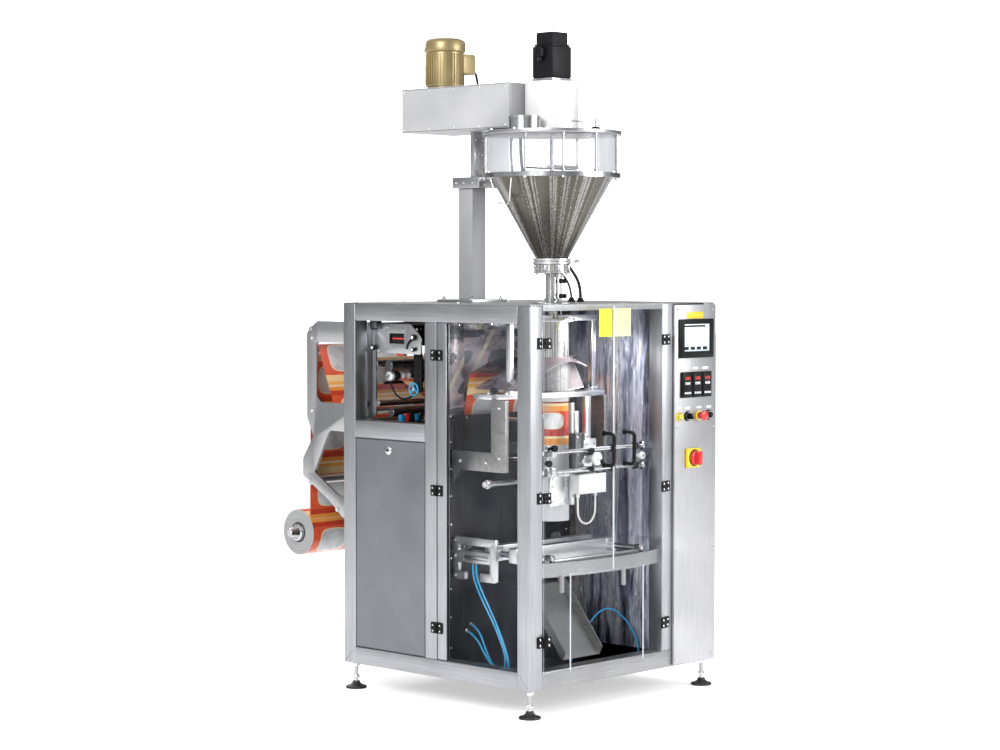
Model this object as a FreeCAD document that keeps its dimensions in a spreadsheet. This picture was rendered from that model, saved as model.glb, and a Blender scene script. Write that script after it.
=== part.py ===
import FreeCAD, Part
import math
import os
import re
import Sketcher

# Vertical form fill and seal machine with an auger filler and a film rack.
# Frame: +Z up, the front faces -Y, +X to the right.  The origin is on the floor
# in the middle of the outline.  Places inside the machine are written from the
# cabinet's left side (x) and from its front face (y), through left_side and front_face.

os.makedirs("parts", exist_ok=True)
doc = FreeCAD.newDocument("form_fill_sealer")
Vector = FreeCAD.Vector

DIMENSIONS = {
    # cabinet
    "left_side": -540, "front_face": -743, "wide": 1080, "deep": 1020, "tall": 1540,
    "foot_gap": 105, "tube": 68, "wall": 3, "sheet": 3, "mid_post": 493, "mid_tube": 64,
    "sill": 1009, "strip": 757, "column": 829, "bulkhead": 489,
    # doors
    "door_left": 72, "door_split": 407, "door_right": 765, "door_bow": 54, "acrylic": 6,
    "door_low": 168, "door_high": 1535, "notch_left": 189, "notch_right": 598, "notch_top": 535,
    "hinge_high": 1400, "hinge_mid": 824, "hinge_low": 286, "hinge_out": 7, "knuckle": 6,
    "side_high": 1346, "side_mid": 826, "side_low": 296, "side_axis": 491,
    # front rail and chute
    "rail_low": 524, "rail_high": 577, "rail_bow": 50, "chute_left": 300, "chute_wide": 215,
    # operator panel
    "panel_left": 818, "panel_wide": 257, "panel_thick": 12, "button_row": 1094,
    # film rack and film
    "rack_left": 150, "rack_thick": 10, "rack_right": 660, "roll_back": 1490, "roll_up": 575,
    "roll_radius": 95, "core_radius": 40, "film_left": 172, "film_wide": 470, "film": 0.6,
    "guide_back": 535, "guide_up": 1098, "turn_back": 1060, "turn_up": 1302,
    # forming set
    "axis_x": 407, "axis_y": 268, "forming_radius": 68, "forming_low": 759, "forming_high": 1470,
    "base_up": 1180, "base_thick": 20,
    # sealing
    "jaw_up": 586, "jaw_tall": 60, "guide_left": 150, "guide_right": 664, "guide_radius": 12,
    "rod_back": 100, "rod_low": 905, "rod_high": 980, "sealer_x": 402, "sealer_up": 937,
    # filler
    "post_x": 400, "post_y": 694, "post_size": 78, "post_top": 2031,
    "box_low": 2220, "box_high": 2395, "box_back": 952, "housing_radius": 105,
    "lid_low": 2191, "lid_high": 2206, "lid_radius": 270, "bowl_radius": 258, "bowl_low": 2044,
    "cone_high": 2026, "cone_low": 1703, "cone_radius": 234, "spout_radius": 56,
    "filler_radius": 24, "filler_low": 790, "motor_x": 400, "motor_y": 848, "motor_radius": 80,
}

sheet = doc.addObject("Spreadsheet::Sheet", "dims")
for row, (name, size) in enumerate(DIMENSIONS.items(), 1):
    sheet.set("A%d" % row, name)
    sheet.set("B%d" % row, str(size))
    sheet.setAlias("B%d" % row, name)
doc.recompute()

NODES = {}
PLANES = {"XY": "XY_Plane", "XZ": "XZ_Plane", "YZ": "YZ_Plane"}


def bound(text):
    """The text with each sheet name turned into a reference to its cell."""
    return re.sub(r"[a-z][a-z_]*", lambda word: "dims." + word.group(), str(text))


def value(text):
    return float(sheet.evalExpression(bound(text)))


def across(x):
    return "left_side + (%s)" % x


def back(y):
    return "front_face + (%s)" % y


def bind(item, **sizes):
    for name, text in sizes.items():
        item.setExpression(name.replace("_", "."), bound(text))


def place(item, x, y, z):
    bind(item, Placement_Base_x=across(x), Placement_Base_y=back(y), Placement_Base_z=z)


def node(label, item):
    item.Label = label
    NODES[label] = item
    return item


# ---- pieces made from primitives ----

def block(x, y, z):
    """A box from three pairs of limits."""
    item = doc.addObject("Part::Box", "block")
    bind(item, Length="(%s) - (%s)" % (x[1], x[0]), Width="(%s) - (%s)" % (y[1], y[0]),
         Height="(%s) - (%s)" % (z[1], z[0]))
    place(item, x[0], y[0], z[0])
    return item


AXES = {"x": FreeCAD.Rotation(Vector(0, 1, 0), 90), "y": FreeCAD.Rotation(Vector(1, 0, 0), -90),
        "z": FreeCAD.Rotation()}


def rod(axis, x, y, z, radius, length):
    """A round bar that starts at the given place and runs along +axis."""
    item = doc.addObject("Part::Cylinder", "rod")
    item.Placement = FreeCAD.Placement(Vector(), AXES[axis])
    bind(item, Radius=radius, Height=length)
    place(item, x, y, z)
    return item


def taper(axis, x, y, z, start, end, length):
    item = doc.addObject("Part::Cone", "taper")
    item.Placement = FreeCAD.Placement(Vector(), AXES[axis])
    bind(item, Radius1=start, Radius2=end, Height=length)
    place(item, x, y, z)
    return item


def fuse(*items):
    if len(items) == 1:
        return items[0]
    item = doc.addObject("Part::MultiFuse", "joined")
    item.Shapes = list(items)
    return item


def cut(base, *tools):
    item = doc.addObject("Part::Cut", "cut")
    item.Base = base
    item.Tool = fuse(*tools)
    return item


def group(*items):
    """Identical pieces that never touch, kept as one node."""
    item = doc.addObject("Part::Compound", "group")
    item.Links = list(items)
    return item


# ---- pieces made from sketches ----

def body(label):
    item = doc.addObject("PartDesign::Body", label)
    return node(label, item)


def sketch(owner, plane, points):
    """A closed outline.  A point with a third entry is reached by an arc of that radius,
    and the sign tells on which side of the run the centre lies (+ on the left)."""
    item = owner.newObject("Sketcher::SketchObject", "outline")
    origin = [part for part in owner.Origin.OriginFeatures if part.Role == PLANES[plane]][0]
    item.AttachmentSupport = [(origin, "")]
    item.MapMode = "FlatFace"
    spots = [Vector(value(point[0]), value(point[1]), 0) for point in points]
    count = len(points)
    ends = []
    for index in range(count):
        follow = (index + 1) % count
        start = spots[index]
        end = spots[follow]
        if len(points[follow]) == 2:
            item.addGeometry(Part.LineSegment(start, end), False)
            ends.append((1, 2))
            continue
        radius = value(points[follow][2])
        run = end - start
        side = Vector(-run.y, run.x, 0).normalize()
        gap = math.sqrt(radius ** 2 - (run.Length / 2) ** 2)
        centre = (start + end) * 0.5 + side * math.copysign(gap, radius)
        first, last = (start, end) if radius > 0 else (end, start)
        low = math.atan2(first.y - centre.y, first.x - centre.x)
        high = math.atan2(last.y - centre.y, last.x - centre.x)
        if high < low:
            high += 2 * math.pi
        circle = Part.Circle(centre, Vector(0, 0, 1), abs(radius))
        item.addGeometry(Part.ArcOfCircle(circle, low, high), False)
        ends.append((1, 2) if radius > 0 else (2, 1))
    for index in range(count):
        follow = (index + 1) % count
        item.addConstraint(Sketcher.Constraint("Coincident", index, ends[index][1],
                                               follow, ends[follow][0]))
        for axis, part in (("DistanceX", 0), ("DistanceY", 1)):
            item.addConstraint(Sketcher.Constraint(axis, -1, 1, index, ends[index][0],
                                                   spots[index][part]))
            item.setExpression("Constraints[%d]" % (item.ConstraintCount - 1),
                               bound(points[index][part]))
        if len(points[follow]) == 3:
            item.addConstraint(Sketcher.Constraint("Radius", index, abs(value(points[follow][2]))))
    return item


def pad(owner, plane, points, length):
    feature = owner.newObject("PartDesign::Pad", "pad")
    feature.Profile = sketch(owner, plane, points)
    bind(feature, Length=length)
    return feature


def turn(owner, axis, points):
    """A turned solid: points are (radius, along) for axes z and y, (along, radius) for x."""
    plane = "XY" if axis == "y" else "XZ"
    outline = sketch(owner, plane, points)
    feature = owner.newObject("PartDesign::Revolution", "turned")
    feature.Profile = outline
    feature.ReferenceAxis = (outline, ["H_Axis" if axis == "x" else "V_Axis"])
    feature.Angle = 360
    return feature


def bow_radius(chord, rise):
    return (value(chord) ** 2 / 4 + value(rise) ** 2) / (2 * value(rise))


# ---- cabinet ----

def frame_bars(gap):
    """Posts and rails, each drawn in by gap on every side."""
    def bar(x, y, z):
        pairs = [("(%s) + %s" % (low, gap), "(%s) - %s" % (high, gap)) for low, high in (x, y, z)]
        return block(*pairs)
    left = ("0", "tube")
    right = ("wide - tube", "wide")
    front = ("0", "tube")
    rear = ("deep - tube", "deep")
    long = ("0", "deep")
    top = ("tall - tube", "tall")
    low = ("foot_gap", "foot_gap + tube")
    mid = ("mid_post", "mid_post + mid_tube")
    rest = ("mid_post", "deep")
    full = ("foot_gap", "tall")
    sill = ("sill", "sill + tube")
    return [
        bar(left, front, full), bar(right, front, full),
        bar(left, rear, full), bar(right, rear, full),
        bar(left, long, top), bar(right, long, top), bar(left, long, low), bar(right, long, low),
        bar(("0", "wide"), rear, top), bar(("0", "wide"), rear, low),
        bar(("0", "wide"), rear, sill), bar(("0", "wide"), front, low),
        bar(left, mid, full), bar(right, mid, full), bar(left, rest, sill),
        bar(("strip", "column"), front, full),
    ]


outer = fuse(*frame_bars("0"))
inner = fuse(*frame_bars("wall"))
outer.Refine = False
inner.Refine = False
node("main_frame", cut(outer, inner)).Refine = False

roof = fuse(block(("0", "wide"), ("0", "deep"), ("tall", "tall + sheet")),
            block(("tube", "strip"), ("0", "sheet"), ("tall - 20", "tall")))
GLANDS = {"768": "442", "735": "461"}
glands = [rod("z", x, y, "tall", "10", "20") for x, y in GLANDS.items()]
node("roof_plate", cut(fuse(roof, *glands), rod("z", "axis_x", "axis_y", "tall - 5", "75", "20")))

pan = block(("tube", "wide - tube"), ("tube", "deep - tube"), ("foot_gap + 3", "foot_gap + 6"))
rear_sheet = block(("tube", "wide - tube"), ("deep - tube - 3", "deep - tube"),
                   ("foot_gap + 3", "sill + 20"))
right_sheet = block(("wide - tube - 3", "wide - tube"), ("tube", "deep - tube"),
                    ("foot_gap + 3", "tall - tube"))
post_notch = block(("wide - tube - 3", "wide - tube"), ("mid_post", "mid_post + mid_tube"),
                   ("foot_gap", "tall"))
hose_stubs = [rod("z", x, y, "foot_gap + 4", "7", "14") for x, y in (("560", "300"), ("742", "105"))]
node("cabinet_liner", fuse(pan, rear_sheet, cut(right_sheet, post_notch), *hose_stubs))

wall_sheet = block(("tube", "wide - tube - 3"), ("bulkhead", "bulkhead + 4"),
                   ("foot_gap + 6", "tall - 2"))
side_wall = block(("strip", "strip + 4"), ("tube", "bulkhead"), ("foot_gap + 6", "tall - 2"))
film_slot = block(("film_left - 25", "film_left + film_wide + 25"),
                  ("bulkhead - 10", "bulkhead + 10"), ("1110", "1440"))
fittings = [rod("y", x, "475", z, "7", "bulkhead - 475") for x, z in (("154", "268"), ("178", "290"))]
web_guide = [rod("x", "150", "guide_back", "guide_up", "14", "514"),
             block(("150", "162"), ("bulkhead + 2", "549"), ("guide_up - 14", "guide_up + 14")),
             block(("652", "664"), ("bulkhead + 2", "549"), ("guide_up - 14", "guide_up + 14"))]
node("inner_bulkhead", fuse(cut(fuse(wall_sheet, side_wall, *fittings), film_slot), *web_guide))

lock_hole = rod("x", "-5", "761", "966", "12.5", "40")
cover = block(("2", "20"), ("mid_post + mid_tube", "deep - tube"), ("foot_gap + tube", "sill"))
node("lower_panel", cut(cover, lock_hole))
lock = fuse(rod("x", "-6", "761", "966", "17", "7.6"), rod("x", "1", "761", "966", "12", "24"),
            block(("25", "28"), ("754", "768"), ("920", "974")))
node("panel_lock", lock)


def span(height, low, high):
    return ("%s %s" % (height, low), "%s %s" % (height, high))


FIXED_BANDS = (("- 20", "- 7"), ("+ 7", "+ 20"))


def fixed_leaf(axis_x, height, side):
    """The fixed half of a front hinge: side is +1 where its plate lies towards +x."""
    if side > 0:
        plate_x = ("%s + 8" % axis_x, "%s + 30" % axis_x)
        web_x = (axis_x, "%s + 9" % axis_x)
    else:
        plate_x = ("%s - 30" % axis_x, "%s - 8" % axis_x)
        web_x = ("%s - 9" % axis_x, axis_x)
    pieces = [block(plate_x, ("-5", "0"), span(height, "- 20", "+ 20"))]
    for low, high in FIXED_BANDS:
        pieces.append(block(web_x, ("-5", "-1.5"), span(height, low, high)))
        pieces.append(rod("z", axis_x, "0 - hinge_out", "%s %s" % (height, low), "knuckle", "13"))
    return pieces


def side_leaf(height, moving):
    """The same hinge on the left side of the cabinet, where its plates face -x."""
    if moving:
        bands = [("- 6.5", "+ 6.5")]
        plate_y = ("side_axis - 30", "side_axis - 8")
        web_y = ("side_axis - 9", "side_axis")
    else:
        bands = FIXED_BANDS
        plate_y = ("side_axis + 8", "side_axis + 30")
        web_y = ("side_axis", "side_axis + 9")
    pieces = [block(("-5", "0"), plate_y, span(height, "- 20", "+ 20"))]
    for low, high in bands:
        pieces.append(block(("-5", "-1.5"), web_y, span(height, low, high)))
        pieces.append(rod("z", "0 - hinge_out", "side_axis", "%s %s" % (height, low), "knuckle", "13"))
    return pieces


FRONT_HINGES = ("hinge_high", "hinge_mid", "hinge_low")
SIDE_HINGES = ("side_high", "side_mid", "side_low")
bases = []
for height in FRONT_HINGES:
    bases.append(fuse(*fixed_leaf("tube", height, -1)))
    bases.append(fuse(*fixed_leaf("door_right + 4", height, 1)))
for height in SIDE_HINGES:
    bases.append(fuse(*side_leaf(height, False)))
node("hinge_bases", group(*bases))

# ---- side door ----

stile = fuse(block(("0", "20"), ("tube + 373", "bulkhead"), ("foot_gap + tube + 3", "tall - tube - 3")),
             *[piece for height in SIDE_HINGES for piece in side_leaf(height, True)])
node("side_door_stile", stile)
node("side_door_glass", block(("6", "12"), ("tube + 3", "tube + 373"),
                              ("foot_gap + tube + 3", "tall - tube - 3")))

# ---- front doors ----

CHORD = "door_right - door_left"
DOOR_ARC = bow_radius(CHORD, "door_bow")
DOOR_BACK = "-2"


def on_bow(x, radius, chord_left, chord_right, back_y):
    """Depth of the bow at x, measured from the cabinet's front face."""
    half = (value(chord_right) - value(chord_left)) / 2
    middle = (value(chord_right) + value(chord_left)) / 2
    sag = math.sqrt(radius ** 2 - half ** 2)
    return value(back_y) - (math.sqrt(radius ** 2 - (value(x) - middle) ** 2) - sag)


def front_door(label, low, high, notch):
    """A bowed acrylic leaf with its lower inner corner cut out."""
    owner = doc.addObject("PartDesign::Body", label)
    outer_radius = DOOR_ARC
    inner_radius = DOOR_ARC - value("acrylic")
    middle = (value("door_left") + value("door_right")) / 2
    half = value(CHORD) / 2
    centre_y = value(DOOR_BACK) + math.sqrt(DOOR_ARC ** 2 - half ** 2)

    def depth(x, radius):
        return "%.4f" % (centre_y - math.sqrt(radius ** 2 - (value(x) - middle) ** 2))

    points = [(low, depth(low, outer_radius)),
              (high, depth(high, outer_radius), outer_radius),
              (high, depth(high, inner_radius)),
              (low, depth(low, inner_radius), -inner_radius)]
    pad(owner, "XY", points, "door_high - door_low")
    place(owner, "0", "0", "door_low")
    gap = block(notch, ("-100", "20"), ("door_low - 5", "notch_top"))
    heel = block(("door_left - 5", "door_right + 5"), ("-0.4", "20"), ("door_low - 5", "door_high + 5"))
    return node(label, cut(owner, gap, heel))


front_door("left_front_door", "door_left", "door_split - 1", ("notch_left", "door_split + 5"))
front_door("right_front_door", "door_split + 1", "door_right", ("door_split - 5", "notch_right"))


# the moving plates lie in front of the acrylic, which is thinner than the hinge
def moving_leaf(axis_x, height, side, face_y):
    if side > 0:
        plate_x = ("%s + 5" % axis_x, "%s + 32" % axis_x)
        web_x = (axis_x, "%s + 8" % axis_x)
    else:
        plate_x = ("%s - 32" % axis_x, "%s - 5" % axis_x)
        web_x = ("%s - 8" % axis_x, axis_x)
    knob = rod("z", axis_x, "0 - hinge_out", "%s - 6.5" % height, "knuckle", "13")
    return fuse(knob,
                block(web_x, ("0 - hinge_out - 6", "0 - hinge_out"), span(height, "- 6.5", "+ 6.5")),
                block(plate_x, (face_y + " - 5", face_y), span(height, "- 20", "+ 20")))


def depth_at(x):
    return "%.4f" % on_bow(x, DOOR_ARC, "door_left", "door_right", DOOR_BACK)


LEFT_FACE = depth_at("door_left + 30")
RIGHT_FACE = depth_at("door_right - 30")
node("left_door_hinges", group(*[moving_leaf("tube", height, 1, LEFT_FACE)
                                 for height in FRONT_HINGES]))
node("right_door_hinges", group(*[moving_leaf("door_right + 4", height, -1, RIGHT_FACE)
                                  for height in FRONT_HINGES]))


def tangent_wire(points):
    """Straight runs joined by tangent arcs, each arc sized from its shorter run."""
    spots = [Vector(value(across(x)), value(back(y)), value(z)) for x, y, z in points]
    edges = []
    radii = []
    begin = spots[0]
    for before, corner, after in zip(spots, spots[1:], spots[2:]):
        into = corner - before
        out = after - corner
        half = into.getAngle(out) / 2
        reach = 0.45 * min(into.Length, out.Length)
        radius = reach / math.tan(half)
        into.normalize()
        out.normalize()
        first = corner - into * reach
        last = corner + out * reach
        bisector = (out - into).normalize()
        centre = corner + bisector * (radius / math.cos(half))
        middle = centre - bisector * radius
        edges.append(Part.LineSegment(begin, first).toShape())
        edges.append(Part.Arc(first, middle, last).toShape())
        radii.append(radius)
        begin = last
    edges.append(Part.LineSegment(begin, spots[-1]).toShape())
    return Part.Wire(edges), spots[1] - spots[0], radii


def pipe(label, points, radius):
    """A round cable, hose or bent bar along its wire."""
    wire, heading, radii = tangent_wire(points)
    ring = Part.Wire([Part.Circle(wire.Vertexes[0].Point, heading, value(radius)).toShape()])
    shape = wire.makePipeShell([ring], True, False)
    item = doc.addObject("Part::Feature", label)
    item.Shape = shape
    wanted = wire.Length * math.pi * value(radius) ** 2
    print("%s length %.0f tightest %.1f volume ratio %.4f"
          % (label, wire.Length, min(radii), shape.Volume / wanted))
    return node(label, item)


def handle(label, x):
    face = "%.4f" % (on_bow(x, DOOR_ARC, "door_left", "door_right", DOOR_BACK) - 0.5)
    pipe(label, [(x, face, "928 + 7"), (x, "-105", "928 + 7"), (x, "-105", "1062 - 7"),
                 (x, face, "1062 - 7")], "7")


handle("left_door_handle", "349")
handle("right_door_handle", "466")

# ---- front rail and chute ----

RAIL_CHORD = "strip - tube"
RAIL_ARC = bow_radius(RAIL_CHORD, "rail_bow")


def front_rail():
    owner = doc.addObject("PartDesign::Body", "rail_bar")
    inner = RAIL_ARC - 12
    middle = (value("tube") + value("strip")) / 2
    half = value(RAIL_CHORD) / 2
    centre_y = 14 + math.sqrt(RAIL_ARC ** 2 - half ** 2)
    inner_depth = "%.4f" % (centre_y - math.sqrt(inner ** 2 - half ** 2))
    points = [("tube", "14"), ("strip", "14", RAIL_ARC),
              ("strip", inner_depth), ("tube", inner_depth, -inner)]
    pad(owner, "XY", points, "rail_high - rail_low")
    place(owner, "0", "0", "rail_low")
    pegs = [rod("z", "162", "-9", "464", "10", "rail_low + 6 - 464"),
            rod("z", "491", "-29", "464", "10", "rail_low + 6 - 464")]
    return node("front_rail", fuse(owner, *pegs))


front_rail()

CHUTE_SIDE = [("330", "441"), ("489", "441"), ("489", "438"), ("331.5", "438"), ("114", "179"),
              ("110", "179")]


def chute():
    floor = doc.addObject("PartDesign::Body", "chute_floor")
    pad(floor, "YZ", CHUTE_SIDE, "chute_wide")
    place(floor, "chute_left", "0", "0")
    walls = []
    for offset in ("0", "chute_wide - 3"):
        wall = doc.addObject("PartDesign::Body", "chute_wall")
        pad(wall, "YZ", [("110", "179"), ("114", "179"), ("331.5", "438"), ("331.5", "470"),
                         ("300", "470"), ("96", "210")], "3")
        place(wall, "chute_left + " + offset, "0", "0")
        walls.append(wall)
    return node("discharge_chute", fuse(floor, *walls))


chute()

# ---- operator panel ----

PANEL_FACE = "0 - panel_thick"
BUTTONS = {"push_button_left": "845", "selector_knob": "897", "estop_button": "968",
           "push_button_right": "1030"}
panel_holes = [rod("y", x, "-14", "button_row", "12", "40") for x in BUTTONS.values()]
panel_holes.append(rod("y", "925", "-14", "928", "9", "40"))
node("control_panel", cut(fuse(
    block(("panel_left", "panel_left + panel_wide"), (PANEL_FACE, "0"), ("foot_gap + 5", "tall - 5")),
    block(("890", "992"), (PANEL_FACE + " - 1", PANEL_FACE), ("1479", "1506"))), *panel_holes))
bezel = fuse(block(("840", "1053"), (PANEL_FACE + " - 8", PANEL_FACE), ("1324", "1478")),
             block(("846", "1047"), (PANEL_FACE + " - 11", PANEL_FACE + " - 8"), ("1330", "1472")))
node("operator_screen", cut(bezel, block(("866", "1027"), ("-24", "-22"), ("1350", "1458"))))
node("temperature_controllers", group(*[
    block(("%d" % (854 + 62 * place_no), "%d" % (911 + 62 * place_no)), ("-26", PANEL_FACE),
          ("1168", "1269")) for place_no in range(3)]))

plates = [cut(rod("y", x, "-18", "button_row", "20", "6"), rod("y", x, "-19", "button_row", "12", "8"))
          for x in BUTTONS.values()]
switch_plate = cut(block(("886", "964"), ("-26", PANEL_FACE), ("889", "966")),
                   rod("y", "925", "-27", "928", "9", "16"))
node("switch_plates", group(*plates, switch_plate))


def knob(label, x, z, steps):
    """A turned operator: steps are (radius, from, to) along y."""
    pieces = [rod("y", x, start, z, radius, "(%s) - (%s)" % (end, start))
              for radius, start, end in steps]
    return node(label, fuse(*pieces))


knob("push_button_left", "845", "button_row", [("11.5", "-27", "-11.9")])
knob("push_button_right", "1030", "button_row", [("11.5", "-27", "-11.9")])
knob("estop_button", "968", "button_row", [("11.5", "-34", "-11.9"), ("20", "-48", "-34")])
node("selector_knob", fuse(rod("y", "897", "-26", "button_row", "11.5", "14.1"),
                           rod("y", "897", "-26", "button_row", "14", "6"),
                           block(("893", "901"), ("-40", "-26"), ("button_row - 13", "button_row + 13"))))
node("main_switch_knob", fuse(rod("y", "925", "-34", "928", "8.5", "21"),
                              rod("y", "925", "-40", "928", "28", "13.5"),
                              block(("916", "934"), ("-62", "-40"), ("928 - 27", "928 + 27"))))

# ---- feet ----

feet = []
for x in ("34", "wide - 34"):
    for y in ("34", "deep - 34"):
        feet.append(fuse(taper("z", x, y, "0", "42", "40", "8"), taper("z", x, y, "8", "40", "14", "20"),
                         rod("z", x, y, "28", "8", "foot_gap - 28"),
                         rod("z", x, y, "40", "14", "12"), rod("z", x, y, "foot_gap - 16", "15", "16")))
node("levelling_feet", group(*feet))

# ---- film rack ----

RACK = [("deep", "1462"), ("1345", "1462"), ("1408", "1415"), ("1408", "1063"), ("1370", "986"),
        ("1435", "890"), ("1435", "818"), ("1270", "722"), ("1190", "658"), ("deep", "658")]
WINDOW_HIGH = [("1100", "1375"), ("1349", "1375"), ("1349", "1150"), ("1325", "1127"), ("1100", "1127")]
WINDOW_LOW = [("1100", "1010"), ("1270", "1013"), ("1365", "837"), ("1217", "747"), ("1100", "747")]
ARM = [("1435", "890"), ("1435", "818"), ("1540", "600"), ("1535", "535"), ("1460", "525"),
       ("1270", "722"), ("1190", "800")]


def rack_plate(x, arm):
    owner = doc.addObject("PartDesign::Body", "rack_plate")
    pad(owner, "YZ", RACK, "rack_thick")
    place(owner, x, "0", "0")
    windows = []
    for outline in (WINDOW_HIGH, WINDOW_LOW):
        window = doc.addObject("PartDesign::Body", "rack_window")
        pad(window, "YZ", outline, "rack_thick + 4")
        place(window, x + " - 2", "0", "0")
        windows.append(window)
    side = cut(owner, *windows)
    if not arm:
        return [side]
    reach = doc.addObject("PartDesign::Body", "roll_arm")
    pad(reach, "YZ", ARM, "rack_thick + 6")
    place(reach, x + " + rack_thick", "0", "0")
    return [side, reach]


SPAN = "rack_right - rack_left"
ties = [rod("x", "rack_left", y, z, "12", SPAN + " + rack_thick")
        for y, z in (("1060", "1440"), ("1060", "690"), ("1385", "1430"), ("1225", "690"))]
ties.append(rod("x", "rack_left", "1395", "800", "20", SPAN + " + rack_thick"))
ties.append(rod("x", "rack_left", "turn_back", "turn_up", "14", SPAN + " + rack_thick"))
spindle = fuse(rod("x", "120", "roll_back", "roll_up", "16", "560"),
               rod("x", "rack_right + rack_thick", "roll_back", "roll_up", "45", "26"))
node("film_rack", fuse(*rack_plate("rack_left", False), *rack_plate("rack_right", True), *ties, spindle))

roll = body("film_roll")
turn(roll, "x", [("0", "16.4"), ("film_wide", "16.4"), ("film_wide", "roll_radius"), ("0", "roll_radius")])
place(roll, "film_left", "roll_back", "roll_up")

# the idler and the dancer turn on their own fixed pins in the rack's side plates
node("top_roller", rod("x", "rack_left + rack_thick + 1", "1382", "1340", "22", SPAN + " - rack_thick - 2"))

ARM_LEFT = "rack_left + rack_thick + 2"
arm_plates = [block((start, start + " + 6"), ("1085", "1255"), ("1090", "1110"))
              for start in (ARM_LEFT, "rack_right - 8")]
arm_bars = [rod("x", ARM_LEFT, y, "1100", radius, SPAN + " - rack_thick - 4")
            for y, radius in (("1095", "11"), ("1240", "18"))]
node("dancer_arm", fuse(*arm_plates, *arm_bars))


def strip(points):
    """A flat length of film between two points of (back, up), across the whole width."""
    owner = doc.addObject("PartDesign::Body", "film_strip")
    (start_y, start_z), (end_y, end_z) = points
    run = Vector(value(end_y) - value(start_y), value(end_z) - value(start_z), 0)
    side = Vector(-run.y, run.x, 0).normalize() * value("film")
    outline = [(start_y, start_z), (end_y, end_z),
               ("%s + %.4f" % (end_y, side.x), "%s + %.4f" % (end_z, side.y)),
               ("%s + %.4f" % (start_y, side.x), "%s + %.4f" % (start_z, side.y))]
    pad(owner, "YZ", outline, "film_wide")
    place(owner, "film_left", "0", "0")
    return owner


def wrap(y, z, radius, start, end, steps):
    """Places of the film round a bar, from one angle to the other."""
    angles = [math.radians(start + (end - start) * step / steps) for step in range(steps + 1)]
    return [("%s + %.4f" % (y, radius * math.cos(angle)), "%s + %.4f" % (z, radius * math.sin(angle)))
            for angle in angles]


def sleeve_panel(turned):
    """An eighth of the film sleeve round the forming tube."""
    panel = rod("z", "axis_x", "axis_y", "700", "forming_radius + 1", "1212 - 700")
    panel.Placement.Rotation = FreeCAD.Rotation(Vector(0, 0, 1), turned)
    panel.Angle = 44.9
    return cut(panel, rod("z", "axis_x", "axis_y", "690", "forming_radius + 0.4", "1230 - 690"))


FILM_RUNS = [("1415.8", "636"), ("1415.8", "805")]
FILM_RUNS += wrap("1382", "1340", 23.6, 0, 158, 6)
FILM_RUNS += wrap("1240", "1100", 19.6, -22, -146, 5)
FILM_RUNS += wrap("turn_back", "turn_up", 16, 34, 114.5, 3)
FILM_RUNS += wrap("guide_back", "guide_up", 16.5, -65.5, -168, 4)
FILM_RUNS += [("482", "1272"), ("430", "1294"), ("352", "1335")]
strips = [strip((start, end)) for start, end in zip(FILM_RUNS, FILM_RUNS[1:])]
sleeve = [sleeve_panel(45 * step) for step in range(8)]
node("film_web", group(fuse(*strips), *sleeve))

# ---- print and coding unit behind the upper left window ----

CODER = [("998", "1460"), ("729", "1460"), ("671", "1411"), ("671", "1341"), ("927", "1344"),
         ("927", "1100"), ("945", "1082"), ("980", "1082"), ("998", "1100")]
coder_plate = doc.addObject("PartDesign::Body", "coder_plate")
pad(coder_plate, "YZ", CODER, "8")
place(coder_plate, "90", "0", "0")
coder_window = block(("88", "100"), ("765", "849"), ("1381", "1422"))
coder_bars = [rod("x", "98", "925", "1140", "12", "500"), rod("x", "98", "940", "1297", "15", "500")]
node("date_coder", fuse(cut(coder_plate, coder_window), *coder_bars,
                        block(("98", "700"), ("870", "930"), ("1395", "1455")),
                        block(("tube", "98"), ("900", "940"), ("1440", "1472")),
                        block(("200", "320"), ("800", "870"), ("1370", "1450"))))

# ---- forming set ----

BRACKET = [("bulkhead", "978"), ("276", "978"), ("276", "base_up"), ("200", "base_up"), ("200", "905"),
           ("430", "905"), ("bulkhead", "850")]
bracket = doc.addObject("PartDesign::Body", "bracket_plate")
pad(bracket, "YZ", BRACKET, "20")
place(bracket, "75", "0", "0")
bracket_right = doc.addObject("PartDesign::Body", "bracket_plate_right")
pad(bracket_right, "YZ", BRACKET, "20")
place(bracket_right, "640", "0", "0")

base = doc.addObject("PartDesign::Body", "base_plate")
pad(base, "XY", [("75", "275"), ("660", "215", "650"), ("660", "370"), ("75", "370")], "base_thick")
place(base, "0", "0", "base_up")
BASE_TOP = "base_up + base_thick"
throat = rod("z", "axis_x", "axis_y", "base_up - 5", "forming_radius + 3.4", "40")
gantry = [block(("162", "182"), ("axis_y - 10", "axis_y + 10"), (BASE_TOP, "1475")),
          block(("632", "652"), ("axis_y - 10", "axis_y + 10"), (BASE_TOP, "1475")),
          block(("162", "652"), ("axis_y - 18", "axis_y + 18"), ("1473", "1497"))]
top_throat = rod("z", "axis_x", "axis_y", "1460", "forming_radius + 0.4", "60")
flange_seat = rod("z", "axis_x", "axis_y", "1481", "92.6", "20")
ear = block(("axis_x - 90", "axis_x + 90"), ("axis_y - 90", "axis_y + 90"), ("1473", "1481"))
node("forming_frame", fuse(bracket, bracket_right, cut(base, throat),
                           cut(fuse(*gantry, ear), top_throat, flange_seat)))

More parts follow.
